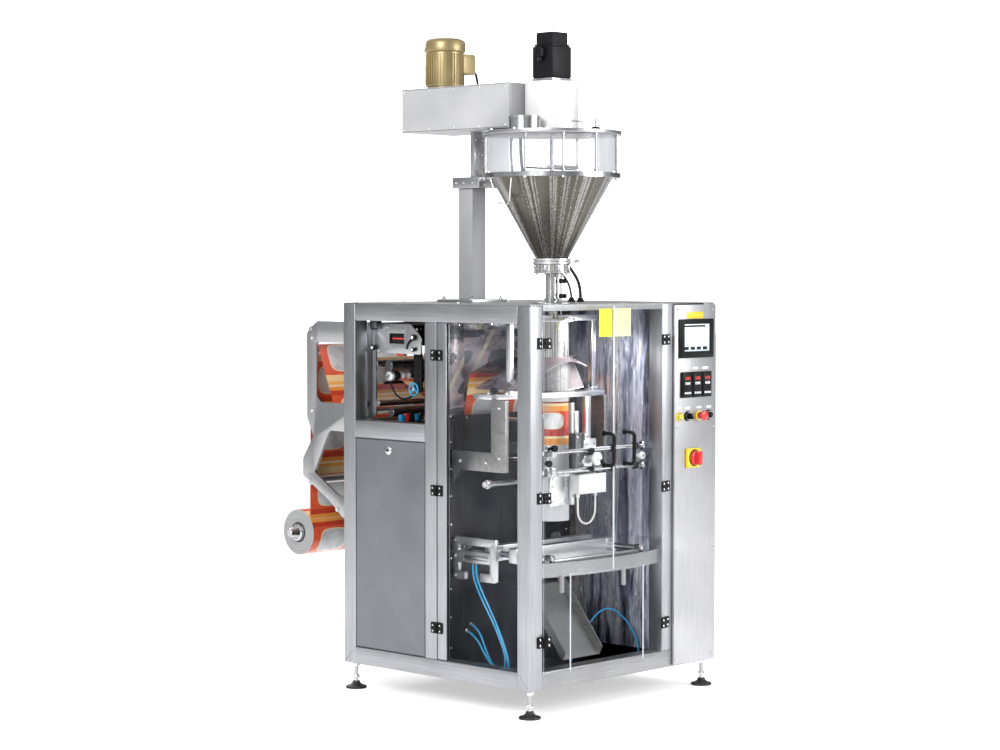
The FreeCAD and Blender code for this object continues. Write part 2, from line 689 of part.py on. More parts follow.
collar = doc.addObject("PartDesign::Body", "collar_skirt")
turn(collar, "z", [("forming_radius + 3", "0"), ("forming_radius + 6", "0"), ("forming_radius + 6", "126"),
                   ("300", "12"), ("301.5", "14.6"), ("forming_radius + 7", "133"),
                   ("forming_radius + 3", "133")])
place(collar, "axis_x", "axis_y", BASE_TOP + " + 2")
knife_plane = doc.addObject("Part::Box", "front_cut")
bind(knife_plane, Length="700", Width="700", Height="500")
knife_plane.Placement = FreeCAD.Placement(Vector(), FreeCAD.Rotation(Vector(1, 0, 0), 42))
place(knife_plane, "axis_x - 350", "axis_y - 490", "1085")
seat = cut(rod("z", "axis_x", "axis_y", BASE_TOP, "90", "6"),
           rod("z", "axis_x", "axis_y", "1180", "forming_radius + 3", "30"))
wing_cuts = [block(("505", "760"), ("-100", "700"), ("1190", "1400")),
             block(("60", "800"), ("-100", "172"), ("1190", "1400")),
             block(("60", "800"), ("474", "700"), ("1190", "1400")),
             block(("158", "186"), ("254", "282"), ("1190", "1400"))]
node("forming_collar", fuse(cut(collar, knife_plane, *wing_cuts), seat))

former = body("forming_tube")
turn(former, "z", [("forming_radius - 2", "0"), ("forming_radius", "0"), ("forming_radius", "722"),
                   ("92", "722"), ("92", "726"), ("forming_radius - 2", "726")])
place(former, "axis_x", "axis_y", "forming_low")

# ---- vertical sealing bar and its carrier ----

rods = [rod("x", "190", "rod_back", level, "9", "strip - 190") for level in ("rod_low", "rod_high")]
ends = [rod("x", "strip - 12", "rod_back", level, "18", "12") for level in ("rod_low", "rod_high")]
heads = [rod("x", "176", "rod_back", level, "14", "16") for level in ("rod_low", "rod_high")]
bearing = rod("y", "sealer_x", "90", "sealer_up", "10.4", "60")
carrier = cut(fuse(block(("366", "430"), ("104", "140"), ("896", "1046")),
                   block(("406", "478"), ("98", "140"), ("981", "1022")),
                   block(("406", "462"), ("104", "140"), ("914", "957"))), bearing)
hanger = [block(("440", "478"), ("140", "202"), ("1000", "1022")),
          block(("478", "542"), ("182", "202"), ("1000", "1022")),
          block(("511", "542"), ("182", "202"), ("1022", "base_up"))]
shields = [block(("290", "388"), ("166", "176"), ("765", "900")),
           block(("300", "330"), ("100", "176"), ("885", "900")),
           block(("414", "436"), ("150", "160"), ("1040", "1128")),
           block(("414", "430"), ("140", "160"), ("1020", "1040"))]
box_bracket = block(("505", "530"), ("104", "125"), ("885", "990"))
node("sealer_frame", fuse(*rods, *ends, *heads, carrier, *hanger, *shields, box_bracket))
node("vertical_sealer", fuse(block(("sealer_x - 9", "sealer_x + 9"), ("150", "170"), ("766", "1160")),
                             rod("y", "sealer_x", "96", "sealer_up", "10", "60")))
node("junction_box", fuse(block(("388", "542"), ("104", "146"), ("811", "885")),
                          rod("z", "505", "128", "797", "8", "14"), rod("z", "400", "124", "797", "8", "14")))

# ---- pull belts ----

def belt_unit(x):
    """A belt loop on one side of the tube with its carrier plate."""
    low = "%s - 20" % x
    high = "%s + 20" % x
    loop = fuse(block((low, high), ("axis_y - 25", "axis_y + 25"), ("880", "1090")),
                rod("y", x, "axis_y - 25", "1090", "20", "50"), rod("y", x, "axis_y - 25", "880", "20", "50"))
    hollow = fuse(block(("%s - 15" % x, "%s + 15" % x), ("axis_y - 30", "axis_y + 30"), ("880", "1090")),
                  rod("y", x, "axis_y - 30", "1090", "15", "60"),
                  rod("y", x, "axis_y - 30", "880", "15", "60"))
    return [cut(loop, hollow),
            block(("%s - 15" % x, "%s + 15" % x), ("axis_y + 5", "axis_y + 25"), ("915", "1065")),
            block(("%s - 12" % x, "%s + 12" % x), ("axis_y + 5", "bulkhead"), ("960", "1000"))]


LEFT_BELT = "axis_x - forming_radius - 24"
RIGHT_BELT = "axis_x + forming_radius + 24"
node("pull_units", group(fuse(*belt_unit(LEFT_BELT)), fuse(*belt_unit(RIGHT_BELT))))
for label, x in (("left_belt_pulley", LEFT_BELT), ("right_belt_pulley", RIGHT_BELT)):
    node(label, fuse(rod("y", x, "axis_y - 24", "1090", "14.6", "48"),
                     rod("y", x, "axis_y + 24", "1090", "8", "bulkhead - axis_y - 24.5")))

# ---- cross sealing jaws ----

yoke_plate = cut(block(("85", "103"), ("262", "bulkhead"), ("480", "645")),
                 block(("80", "110"), ("292", "460"), ("512", "548")),
                 block(("80", "110"), ("292", "460"), ("592", "615")),
                 block(("80", "110"), ("345", "425"), ("475", "520")))
guides = [rod("y", x, "30", "jaw_up", "guide_radius", "bulkhead - 30") for x in ("guide_left", "guide_right")]
flanges = [rod("y", x, "bulkhead - 14", "jaw_up", "30", "14") for x in ("guide_left", "guide_right")]
front_tie = block(("guide_left - 20", "guide_right + 20"), ("30", "48"), ("jaw_up - 20", "jaw_up - 4"))
cylinder_body = fuse(rod("y", "100", "300", "570", "18", "130"),
                     block(("84", "118"), ("290", "302"), ("552", "588")),
                     block(("84", "118"), ("428", "440"), ("552", "588")))
node("jaw_guides", fuse(yoke_plate, *guides, *flanges, front_tie,
                        rod("z", "98", "376", "540", "6", "20"), rod("z", "106", "402", "540", "6", "20"),
                        cylinder_body))


def jaw(label, face, rear, extra):
    """A heated bar between two sliding blocks on the guide rods."""
    bar = block(("guide_left + 30", "guide_right - 30"), (face, rear), ("jaw_up - 30", "jaw_up + 30"))
    pieces = [bar] + extra
    for x in ("guide_left", "guide_right"):
        bush = block(("%s - 30" % x, "%s + 30" % x), (face, rear), ("jaw_up - 30", "jaw_up + 30"))
        pieces.append(cut(bush, rod("y", x, face + " - 2", "jaw_up", "guide_radius + 0.4", "60")))
    return node(label, fuse(*pieces))


jaw("front_jaw", "185", "225", [])
jaw("rear_jaw", "311", "351", [])

# ---- auger filler ----

flange = block(("post_x - 100", "post_x + 100"), ("post_y - 100", "post_y + 100"),
               ("tall + sheet", "tall + sheet + 12"))
post = block(("post_x - post_size / 2", "post_x + post_size / 2"),
             ("post_y - post_size / 2", "post_y + post_size / 2"), ("tall + sheet", "post_top"))
head = block(("post_x - 52", "post_x + 52"), ("post_y - 90", "post_y + 60"), ("1996", "2040"))
riser = block(("post_x - 30", "post_x + 30"), ("post_y - 40", "post_y - 20"), ("2040", "box_low"))
node("filler_post", fuse(flange, post, head, riser))

box_body = cut(block(("axis_x - 147", "axis_x + 147"), ("360", "box_back"), ("box_low", "box_high")),
               rod("z", "axis_x", "axis_y", "box_low - 5", "housing_radius + 0.4", "box_high - box_low + 10"))
node("drive_box", fuse(box_body, rod("z", "540", "560", "2204", "10", "20"),
                       rod("z", "500", "575", "2204", "10", "20")))

motor = body("agitator_motor")
turn(motor, "z", [("0", "0"), ("70", "0"), ("70", "12"), ("motor_radius", "12"), ("motor_radius", "150"),
                  ("84", "150"), ("84", "190"), ("60", "206"), ("0", "206")])
place(motor, "motor_x", "motor_y", "box_high")

servo = fuse(block(("axis_x - 54", "axis_x + 54"), ("axis_y - 54", "axis_y + 54"), ("2396", "2533")),
             block(("axis_x - 44", "axis_x + 44"), ("axis_y - 44", "axis_y + 44"), ("2533", "2587")),
             block(("axis_x - 84", "axis_x - 54"), ("axis_y - 20", "axis_y + 20"), ("2490", "2525")))
node("servo_motor", servo)

lid = fuse(rod("z", "axis_x", "axis_y", "lid_low", "lid_radius", "lid_high - lid_low"),
           rod("z", "axis_x", "axis_y", "lid_high", "housing_radius", "2396 - lid_high"),
           rod("z", "axis_x - 175", "axis_y - 20", "lid_high", "62", "52"))
node("hopper_lid", cut(lid, rod("z", "axis_x", "axis_y", "lid_low - 5", "22.4", "130"),
                       rod("z", "axis_x - 175", "axis_y - 20", "lid_low - 5", "56", "100")))

bowl = body("hopper_ring")
turn(bowl, "z", [("bowl_radius - 6", "0"), ("bowl_radius", "0"), ("bowl_radius", "lid_low - bowl_low"),
                 ("bowl_radius - 6", "lid_low - bowl_low")])
place(bowl, "axis_x", "axis_y", "bowl_low")

cone = body("hopper_cone")
turn(cone, "z", [("spout_radius - 2.5", "1700 - cone_low"), ("spout_radius + 12", "1700 - cone_low"),
                 ("spout_radius + 12", "0"), ("spout_radius", "0"),
                 ("cone_radius", "cone_high - cone_low"), ("267", "cone_high - cone_low"),
                 ("267", "bowl_low - cone_low"), ("cone_radius - 3", "bowl_low - cone_low"),
                 ("cone_radius - 3", "cone_high - cone_low"), ("spout_radius - 2.5", "2")])
place(cone, "axis_x", "axis_y", "cone_low")

pipe_body = body("filler_tube")
turn(pipe_body, "z", [("filler_radius - 2", "0"), ("filler_radius", "0"),
                  ("filler_radius", "1655 - filler_low"),
                      ("71.5", "1660 - filler_low"), ("71.5", "1700 - filler_low"),
                      ("filler_radius - 2", "1700 - filler_low")])
place(pipe_body, "axis_x", "axis_y", "filler_low")

screw_flights = [taper("z", "axis_x", "axis_y", "%d" % level, "21.5", "8", "10")
                 for level in range(830, 1700, 40)]
paddles = [block(("axis_x - 150", "axis_x + 150"), ("axis_y - 5", "axis_y + 5"), ("2060", "2080")),
           block(("axis_x - 90", "axis_x + 90"), ("axis_y - 5", "axis_y + 5"), ("1900", "1915"))]
screw = fuse(rod("z", "axis_x", "axis_y", "800", "8", "2300 - 800"), *screw_flights, *paddles)
node("auger_screw", screw)

# ---- cables and hoses ----

pipe("hose_cylinder_front", [("98", "376", "540"), ("98", "376", "500"), ("98", "348", "445"),
                             ("97", "306", "385"), ("95", "264", "322"), ("92", "228", "262"),
                             ("91", "202", "205"), ("100", "204", "152"), ("112", "248", "130"),
                             ("124", "306", "144"), ("136", "366", "190"), ("150", "426", "250"),
                             ("154", "473.4", "268")], "4")
pipe("hose_cylinder_rear", [("106", "402", "540"), ("106", "402", "500"), ("108", "376", "440"),
                            ("109", "336", "380"), ("109", "294", "322"), ("107", "256", "262"),
                            ("108", "230", "205"), ("118", "240", "154"), ("132", "286", "134"),
                            ("146", "340", "156"), ("160", "388", "208"), ("174", "432", "272"),
                            ("178", "473.2", "290")], "4")
pipe("hose_right", [("560", "300", "123"), ("560", "300", "170"), ("580", "268", "222"),
                    ("612", "248", "280"), ("655", "234", "322"), ("702", "214", "330"),
                    ("732", "172", "290"), ("742", "128", "232"), ("742", "105", "172"),
                    ("742", "105", "123")], "4")
pipe("cable_white", [("505", "128", "796.8"), ("506", "128.5", "760"), ("503", "128", "722"),
                     ("473", "127", "691"), ("431", "126", "692"), ("402", "124.5", "722"),
                     ("399", "124", "760"), ("400", "124", "796.8")], "4")
pipe("cable_servo", [("540", "560", "2204"), ("540", "560", "2120"), ("552", "550", "2020"),
                     ("580", "530", "1925"), ("620", "505", "1838"), ("664", "480", "1756"),
                     ("712", "458", "1690"), ("752", "445", "1638"), ("768", "442", "1592"),
                     ("768", "442", "1560")], "6.5")
pipe("cable_level", [("500", "575", "2204"), ("500", "575", "2120"), ("506", "566", "2020"),
                     ("524", "548", "1925"), ("556", "522", "1838"), ("594", "498", "1760"),
                     ("642", "480", "1698"), ("694", "466", "1650"), ("728", "461", "1604"),
                     ("735", "461", "1560.8")], "4.5")

for item in NODES.values():
    item.Visibility = True
doc.recompute()

failed = [item.Label for item in doc.Objects if "Invalid" in item.State or "Error" in item.State]
if failed:
    raise SystemExit("objects that did not compute: %s" % failed)
for label, item in NODES.items():
    if item.Shape.isNull() or not item.Shape.isValid():
        raise SystemExit("bad shape: " + label)
for label, item in NODES.items():
    item.Shape.exportStep("parts/%s.step" % label)
print(len(NODES), "nodes")
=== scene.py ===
import bpy
import bmesh
import math
from mathutils import Matrix, Vector


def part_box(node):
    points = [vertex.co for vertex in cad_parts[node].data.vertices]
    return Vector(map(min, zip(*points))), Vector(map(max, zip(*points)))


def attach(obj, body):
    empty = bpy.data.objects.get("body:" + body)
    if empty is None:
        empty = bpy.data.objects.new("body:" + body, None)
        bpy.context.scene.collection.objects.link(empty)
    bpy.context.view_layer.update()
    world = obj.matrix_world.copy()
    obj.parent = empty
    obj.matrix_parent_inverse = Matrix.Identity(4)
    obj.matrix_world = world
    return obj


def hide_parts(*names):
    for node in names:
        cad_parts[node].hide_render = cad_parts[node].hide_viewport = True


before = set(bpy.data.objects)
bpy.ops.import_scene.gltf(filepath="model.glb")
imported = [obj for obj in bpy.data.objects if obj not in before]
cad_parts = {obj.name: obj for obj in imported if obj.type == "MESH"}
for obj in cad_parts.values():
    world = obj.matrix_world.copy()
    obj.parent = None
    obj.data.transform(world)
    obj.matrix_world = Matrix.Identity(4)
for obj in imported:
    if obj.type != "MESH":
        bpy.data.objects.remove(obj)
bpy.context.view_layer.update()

# Lengths below are in millimetres from the cabinet's left side, its front face and the floor.
LEFT, FRONT = -540.0, -743.0


# The upright axis that the filler, the forming tube and the auger share, and the axis of the film roll.
AXIS_X, AXIS_Y = 407, 268
ROLL_Y, ROLL_Z = 1490, 575


def at(x, y, z):
    return Vector(((x + LEFT) / 1000, (y + FRONT) / 1000, z / 1000))


def on_axis(z):
    return AXIS_X, AXIS_Y, z


def on_roll(x):
    return x, ROLL_Y, ROLL_Z


# ---------------------------------------------------------------- materials

def new_material(name):
    material = bpy.data.materials.new(name)
    material.use_nodes = True
    tree = material.node_tree
    shader = tree.nodes["Principled BSDF"]
    return material, tree, shader


def object_coords(tree, scale=(1, 1, 1), source="Object"):
    coords = tree.nodes.new("ShaderNodeTexCoord")
    mapping = tree.nodes.new("ShaderNodeMapping")
    mapping.inputs["Scale"].default_value = scale
    tree.links.new(coords.outputs[source], mapping.inputs["Vector"])
    return mapping.outputs["Vector"]


def noise(tree, vector, scale=1.0, detail=4.0, rough=0.55, distort=0.0):
    node = tree.nodes.new("ShaderNodeTexNoise")
    node.inputs["Scale"].default_value = scale
    node.inputs["Detail"].default_value = detail
    node.inputs["Roughness"].default_value = rough
    node.inputs["Distortion"].default_value = distort
    tree.links.new(vector, node.inputs["Vector"])
    return node.outputs["Fac"]


def ramp(tree, factor, stops, mode="LINEAR"):
    node = tree.nodes.new("ShaderNodeValToRGB")
    node.color_ramp.interpolation = mode
    elements = node.color_ramp.elements
    while len(elements) < len(stops):
        elements.new(0.5)
    for element, (place, color) in zip(elements, stops):
        element.position = place
        element.color = (*color, 1) if len(color) == 3 else color
    tree.links.new(factor, node.inputs["Fac"])
    return node.outputs["Color"]


def remap(tree, factor, low, high, start=0.0, end=1.0):
    node = tree.nodes.new("ShaderNodeMapRange")
    node.inputs["From Min"].default_value = start
    node.inputs["From Max"].default_value = end
    node.inputs["To Min"].default_value = low
    node.inputs["To Max"].default_value = high
    tree.links.new(factor, node.inputs["Value"])
    return node.outputs["Result"]


def maths(tree, kind, one, two=None):
    node = tree.nodes.new("ShaderNodeMath")
    node.operation = kind
    for socket, value in zip(node.inputs, (one, two)):
        if value is None:
            continue
        if isinstance(value, (int, float)):
            socket.default_value = value
        else:
            tree.links.new(value, socket)
    return node.outputs[0]


def mix(tree, factor, first, second, kind="MIX"):
    node = tree.nodes.new("ShaderNodeMix")
    node.data_type = "RGBA"
    node.blend_type = kind
    for socket, value in ((node.inputs[0], factor), (node.inputs[6], first), (node.inputs[7], second)):
        if isinstance(value, (int, float)):
            socket.default_value = value
        elif isinstance(value, tuple):
            socket.default_value = (*value, 1)
        else:
            tree.links.new(value, socket)
    return node.outputs[2]


def bump(tree, height, strength, distance=0.001):
    node = tree.nodes.new("ShaderNodeBump")
    node.inputs["Strength"].default_value = strength
    node.inputs["Distance"].default_value = distance
    tree.links.new(height, node.inputs["Height"])
    return node.outputs["Normal"]


GRAIN = {"x": (5, 420, 420), "y": (420, 5, 420), "z": (420, 420, 5), "none": (60, 60, 60)}


def brushed(name, dark, light, rough, grain="z", blotch=0.5, wave=0.0):
    """Brushed metal: fine streaks along the grain, soft cloudy tone and handling marks."""
    material, tree, shader = new_material(name)
    streaks = noise(tree, object_coords(tree, GRAIN[grain]), 1.0, 6, 0.6)
    clouds = noise(tree, object_coords(tree), 3.2, 3, 0.5, 0.6)
    fine = ramp(tree, streaks, [(0.32, dark), (0.68, light)])
    tone = ramp(tree, clouds, [(0.3, (1 - 0.35 * blotch,) * 3), (0.7, (1, 1, 1))])
    tree.links.new(mix(tree, 1.0, fine, tone, "MULTIPLY"), shader.inputs["Base Color"])
    shader.inputs["Metallic"].default_value = 1.0
    spread = maths(tree, "MULTIPLY_ADD", streaks, 0.16)
    spread.node.inputs[2].default_value = rough - 0.08
    tree.links.new(spread, shader.inputs["Roughness"])
    height = streaks
    if wave:
        ripples = noise(tree, object_coords(tree, (1, 1, 0.55)), 9.0, 3, 0.5, 1.2)
        height = maths(tree, "ADD", maths(tree, "MULTIPLY", streaks, 0.05),
                       maths(tree, "MULTIPLY", ripples, wave))
    tree.links.new(bump(tree, height, 0.12 if not wave else 0.5, 0.0006 if not wave else 0.004),
                   shader.inputs["Normal"])
    return material


def coated(name, dark, light, rough, scale=220, strength=0.12, coat=0.0, metal=0.0):
    """Paint or plastic with a fine moulded or sprayed texture and slightly uneven gloss."""
    material, tree, shader = new_material(name)
    grain = noise(tree, object_coords(tree), scale, 3, 0.6)
    clouds = noise(tree, object_coords(tree), 6, 3, 0.55, 0.3)
    blend = maths(tree, "ADD", maths(tree, "MULTIPLY", grain, 0.35), maths(tree, "MULTIPLY", clouds, 0.65))
    tree.links.new(ramp(tree, blend, [(0.35, dark), (0.65, light)]), shader.inputs["Base Color"])
    tree.links.new(remap(tree, clouds, rough - 0.07, rough + 0.09, 0.3, 0.7), shader.inputs["Roughness"])
    shader.inputs["Metallic"].default_value = metal
    shader.inputs["Coat Weight"].default_value = coat
    tree.links.new(bump(tree, grain, strength, 0.0004), shader.inputs["Normal"])
    return material


def clear(name, tint, alpha, edge, rough=0.04, streak=0.0):
    """Clear acrylic: mostly open, denser at a grazing look, with faint haze and wipe marks."""
    material, tree, shader = new_material(name)
    haze = noise(tree, object_coords(tree, (2.2, 2.2, 1.1)), 2.0, 4, 0.6, 1.5)
    wipes = noise(tree, object_coords(tree, (30, 30, 3)), 1.0, 4, 0.6, 0.4)
    dim = tuple(0.72 * part for part in tint)
    tree.links.new(ramp(tree, haze, [(0.35, dim), (0.65, tint)]), shader.inputs["Base Color"])
    rim = tree.nodes.new("ShaderNodeLayerWeight")
    rim.inputs["Blend"].default_value = 0.35
    open_part = maths(tree, "MULTIPLY_ADD", rim.outputs["Fresnel"], edge)
    open_part.node.inputs[2].default_value = alpha
    shade = maths(tree, "MULTIPLY", remap(tree, haze, -streak, streak, 0.35, 0.65), 1.0)
    tree.links.new(maths(tree, "ADD", open_part, shade), shader.inputs["Alpha"])
    tree.links.new(remap(tree, wipes, rough, rough + 0.07, 0.4, 0.7), shader.inputs["Roughness"])
    shader.inputs["Specular IOR Level"].default_value = 0.45
    return material


def painted_reflection_wall(name):
    """A polished sheet whose colour is painted reflection: tall wavering light, blue-grey and dark bands."""
    material, tree, shader = new_material(name)
    bands = noise(tree, object_coords(tree, (1, 13, 1.1)), 1.0, 4, 0.55, 0.5)
    flecks = noise(tree, object_coords(tree, (6, 60, 14)), 1.0, 4, 0.7, 0.3)
    blend = maths(tree, "ADD", maths(tree, "MULTIPLY", bands, 0.8), maths(tree, "MULTIPLY", flecks, 0.2))
    tree.links.new(ramp(tree, blend, [(0.36, (0.03, 0.03, 0.04)), (0.43, (0.22, 0.23, 0.32)),
                                      (0.49, (0.70, 0.73, 0.84)), (0.53, (0.30, 0.31, 0.38)),
                                      (0.58, (0.82, 0.84, 0.90)), (0.66, (0.20, 0.15, 0.15))]),
                   shader.inputs["Base Color"])
    shader.inputs["Metallic"].default_value = 0.55
    tree.links.new(remap(tree, flecks, 0.16, 0.3, 0.35, 0.7), shader.inputs["Roughness"])
    tree.links.new(bump(tree, bands, 0.3, 0.003), shader.inputs["Normal"])
    return material


def printed_film(name):
    """Wrapping film with a plain repeating print: warm red field, amber bands, pale rounded windows."""
    material, tree, shader = new_material(name)
    coords = tree.nodes.new("ShaderNodeTexCoord")
    split = tree.nodes.new("ShaderNodeSeparateXYZ")
    tree.links.new(coords.outputs["UV"], split.inputs[0])
    across = split.outputs[0]
    along = maths(tree, "FRACT", maths(tree, "DIVIDE", split.outputs[1], 0.235))
    bands = ramp(tree, along, [(0.0, (0.78, 0.3, 0.05)), (0.07, (0.55, 0.045, 0.015)),
                               (0.16, (0.72, 0.10, 0.035)),
                               (0.72, (0.70, 0.09, 0.03)), (0.78, (0.86, 0.62, 0.32)),
                               (0.9, (0.82, 0.42, 0.1)),
                               (0.96, (0.86, 0.66, 0.4))], "CONSTANT")
    cell = maths(tree, "FRACT", maths(tree, "MULTIPLY", across, 2.0))
    off_x = maths(tree, "ABSOLUTE", maths(tree, "SUBTRACT", cell, 0.5))
    off_y = maths(tree, "ABSOLUTE", maths(tree, "SUBTRACT", along, 0.46))
    far = maths(tree, "ADD", maths(tree, "POWER", maths(tree, "DIVIDE", off_x, 0.3), 4.0),
                maths(tree, "POWER", maths(tree, "DIVIDE", off_y, 0.24), 4.0))
    window = maths(tree, "LESS_THAN", far, 1.0)
    rim_line = maths(tree, "LESS_THAN", far, 1.35)
    wash = noise(tree, object_coords(tree), 14, 3, 0.5, 0.4)
    pale = ramp(tree, wash, [(0.3, (0.42, 0.44, 0.47)), (0.7, (0.72, 0.73, 0.74))])
    color = mix(tree, rim_line, bands, (0.86, 0.7, 0.45))
    color = mix(tree, window, color, pale)
    tree.links.new(color, shader.inputs["Base Color"])
    creases = noise(tree, object_coords(tree, (3, 3, 14)), 3.0, 3, 0.5, 0.8)
    tree.links.new(bump(tree, creases, 0.35, 0.003), shader.inputs["Normal"])
    tree.links.new(remap(tree, wash, 0.22, 0.36, 0.3, 0.7), shader.inputs["Roughness"])
    shader.inputs["Coat Weight"].default_value = 0.4
    return material


def from_axis(tree):
    """The place across and behind the filler's upright axis."""
    split = tree.nodes.new("ShaderNodeSeparateXYZ")
    tree.links.new(object_coords(tree), split.inputs[0])
    centre = at(*on_axis(0))
    return maths(tree, "SUBTRACT", split.outputs[0], centre.x), maths(tree, "SUBTRACT", split.outputs[1],
                                                                      centre.y)


def painted_reflection_streaks(tree, across):
    """Painted reflections: tall light and dark streaks that run up a round shell, set by their angle round
    the filler's axis.
    """
    side, back = from_axis(tree)
    streaks = tree.nodes.new("ShaderNodeTexNoise")
    streaks.noise_dimensions = "1D"
    streaks.inputs["Scale"].default_value = across
    streaks.inputs["Detail"].default_value = 5
    streaks.inputs["Roughness"].default_value = 0.6
    tree.links.new(maths(tree, "ARCTAN2", side, back), streaks.inputs["W"])
    return streaks.outputs["Fac"]


def painted_reflection_steel(name, stops, rough, across):
    """Polished round steel whose colour carries painted reflections: tall bright and dark streaks."""
    material, tree, shader = new_material(name)
    streaks = painted_reflection_streaks(tree, across)
    fine = noise(tree, object_coords(tree, (300, 300, 6)), 1.0, 4, 0.6)
    blend = maths(tree, "ADD", maths(tree, "MULTIPLY", streaks, 0.86), maths(tree, "MULTIPLY", fine, 0.14))
    # The ramp paints the streaks into the base colour as mirrored room and lights.
    tree.links.new(ramp(tree, blend, stops), shader.inputs["Base Color"])
    shader.inputs["Metallic"].default_value = 0.85
    tree.links.new(remap(tree, fine, rough - 0.05, rough + 0.08, 0.3, 0.7), shader.inputs["Roughness"])
    tree.links.new(bump(tree, fine, 0.12, 0.0005), shader.inputs["Normal"])
    return material


def film_back(name, patches=True):
    """The unprinted side of the film: mauve silver, with the print's dark rounded windows showing through;
    without patches, the steel tube inside the collar gets painted reflection streaks instead.
    """
    material, tree, shader = new_material(name)
    split = tree.nodes.new("ShaderNodeSeparateXYZ")
    tree.links.new(object_coords(tree), split.inputs[0])
    wash = noise(tree, object_coords(tree, (5, 5, 12)), 1.0, 4, 0.6, 1.4)
    color = ramp(tree, wash, [(0.34, (0.12, 0.11, 0.12)), (0.47, (0.25, 0.21, 0.24)),
                              (0.56, (0.33, 0.31, 0.33)),
                              (0.68, (0.40, 0.28, 0.29))])
    if patches:
        rise = maths(tree, "DIVIDE", split.outputs[2], 0.106)
        slant = maths(tree, "SUBTRACT", maths(tree, "DIVIDE", split.outputs[0], 0.247),
                      maths(tree, "MULTIPLY", rise, 0.3))
        off_x = maths(tree, "ABSOLUTE", maths(tree, "SUBTRACT",
                                              maths(tree, "FRACT", maths(tree, "ADD", slant, 0.35)), 0.5))
        off_z = maths(tree, "ABSOLUTE", maths(tree, "SUBTRACT", maths(tree, "FRACT", rise), 0.5))
        far = maths(tree, "ADD", maths(tree, "POWER", maths(tree, "DIVIDE", off_x, 0.3), 4.0),
                    maths(tree, "POWER", maths(tree, "DIVIDE", off_z, 0.26), 4.0))
        color = mix(tree, maths(tree, "GREATER_THAN", off_x, 0.455), color, (0.52, 0.50, 0.38))
        color = mix(tree, maths(tree, "LESS_THAN", far, 1.0), color, (0.085, 0.085, 0.10))
    else:
        # Inside the collar's tube radius the colour is painted reflection: bright and dark streaks on the
        # steel.
        side, back = from_axis(tree)
        reach = maths(tree, "SQRT", maths(tree, "ADD", maths(tree, "POWER", side, 2),
                                          maths(tree, "POWER", back, 2)))
        steel = ramp(tree, painted_reflection_streaks(tree, 3.0), [(0.38, (0.10, 0.10, 0.10)), (0.47, (0.60, 0.60, 0.60)),
                                                      (0.54, (0.20, 0.20, 0.19)), (0.62, (0.45, 0.45, 0.45))])
        color = mix(tree, maths(tree, "LESS_THAN", reach, 0.0765), color, steel)
    shader.inputs["Metallic"].default_value = 0.35
    tree.links.new(color, shader.inputs["Base Color"])
    tree.links.new(remap(tree, wash, 0.22, 0.34, 0.3, 0.7), shader.inputs["Roughness"])
    tree.links.new(bump(tree, wash, 0.4, 0.004), shader.inputs["Normal"])
    return material


def sleeve_print(name):
    """The print on the sleeve: amber and red bands with a pale rounded window on each side, silver below."""
    material, tree, shader = new_material(name)
    coords = tree.nodes.new("ShaderNodeTexCoord")
    turn = tree.nodes.new("ShaderNodeSeparateXYZ")
    tree.links.new(coords.outputs["UV"], turn.inputs[0])
    place = tree.nodes.new("ShaderNodeSeparateXYZ")
    tree.links.new(coords.outputs["Object"], place.inputs[0])
    rise = remap(tree, place.outputs[2], 0.0, 1.0, 0.98, 1.18)
    silver, amber, cream, red = (0.56, 0.57, 0.60), (0.80, 0.32, 0.06), (0.86, 0.70, 0.38), (0.62, 0.05, 0.02)
    bands = ramp(tree, rise, [(0.0, silver), (0.08, amber), (0.20, cream), (0.25, (0.48, 0.03, 0.015)),
                              (0.41, red),
                              (0.73, amber), (0.83, cream), (0.88, (0.32, 0.04, 0.03)),
                              (0.915, (0.70, 0.71, 0.72))],
                 "CONSTANT")
    cell = maths(tree, "FRACT", maths(tree, "ADD", maths(tree, "MULTIPLY", turn.outputs[0], 2.0), 0.256))
    off_x = maths(tree, "ABSOLUTE", maths(tree, "SUBTRACT", cell, 0.5))
    off_z = maths(tree, "ABSOLUTE", maths(tree, "SUBTRACT", rise, 0.545))
    far = maths(tree, "ADD", maths(tree, "POWER", maths(tree, "DIVIDE", off_x, 0.21), 3.0),
                maths(tree, "POWER", maths(tree, "DIVIDE", off_z, 0.15), 3.0))
    wash = noise(tree, object_coords(tree, (22, 22, 4)), 1.0, 3, 0.5, 0.5)
    pale = ramp(tree, wash, [(0.36, (0.34, 0.36, 0.37)), (0.52, (0.86, 0.87, 0.88)),
                             (0.64, (0.44, 0.46, 0.47))])
    color = mix(tree, maths(tree, "LESS_THAN", far, 1.3), bands, (0.80, 0.66, 0.42))
    color = mix(tree, maths(tree, "LESS_THAN", far, 1.0), color, pale)
    # Patches of the print are washed towards near-white by the wash noise.
    pale_washed = mix(tree, remap(tree, wash, 0.0, 0.3, 0.5, 0.75), color, (0.85, 0.84, 0.80))
    tree.links.new(pale_washed, shader.inputs["Base Color"])
    tree.links.new(bump(tree, wash, 0.25, 0.002), shader.inputs["Normal"])
    tree.links.new(remap(tree, wash, 0.22, 0.34, 0.3, 0.7), shader.inputs["Roughness"])
    shader.inputs["Coat Weight"].default_value = 0.3
    return material


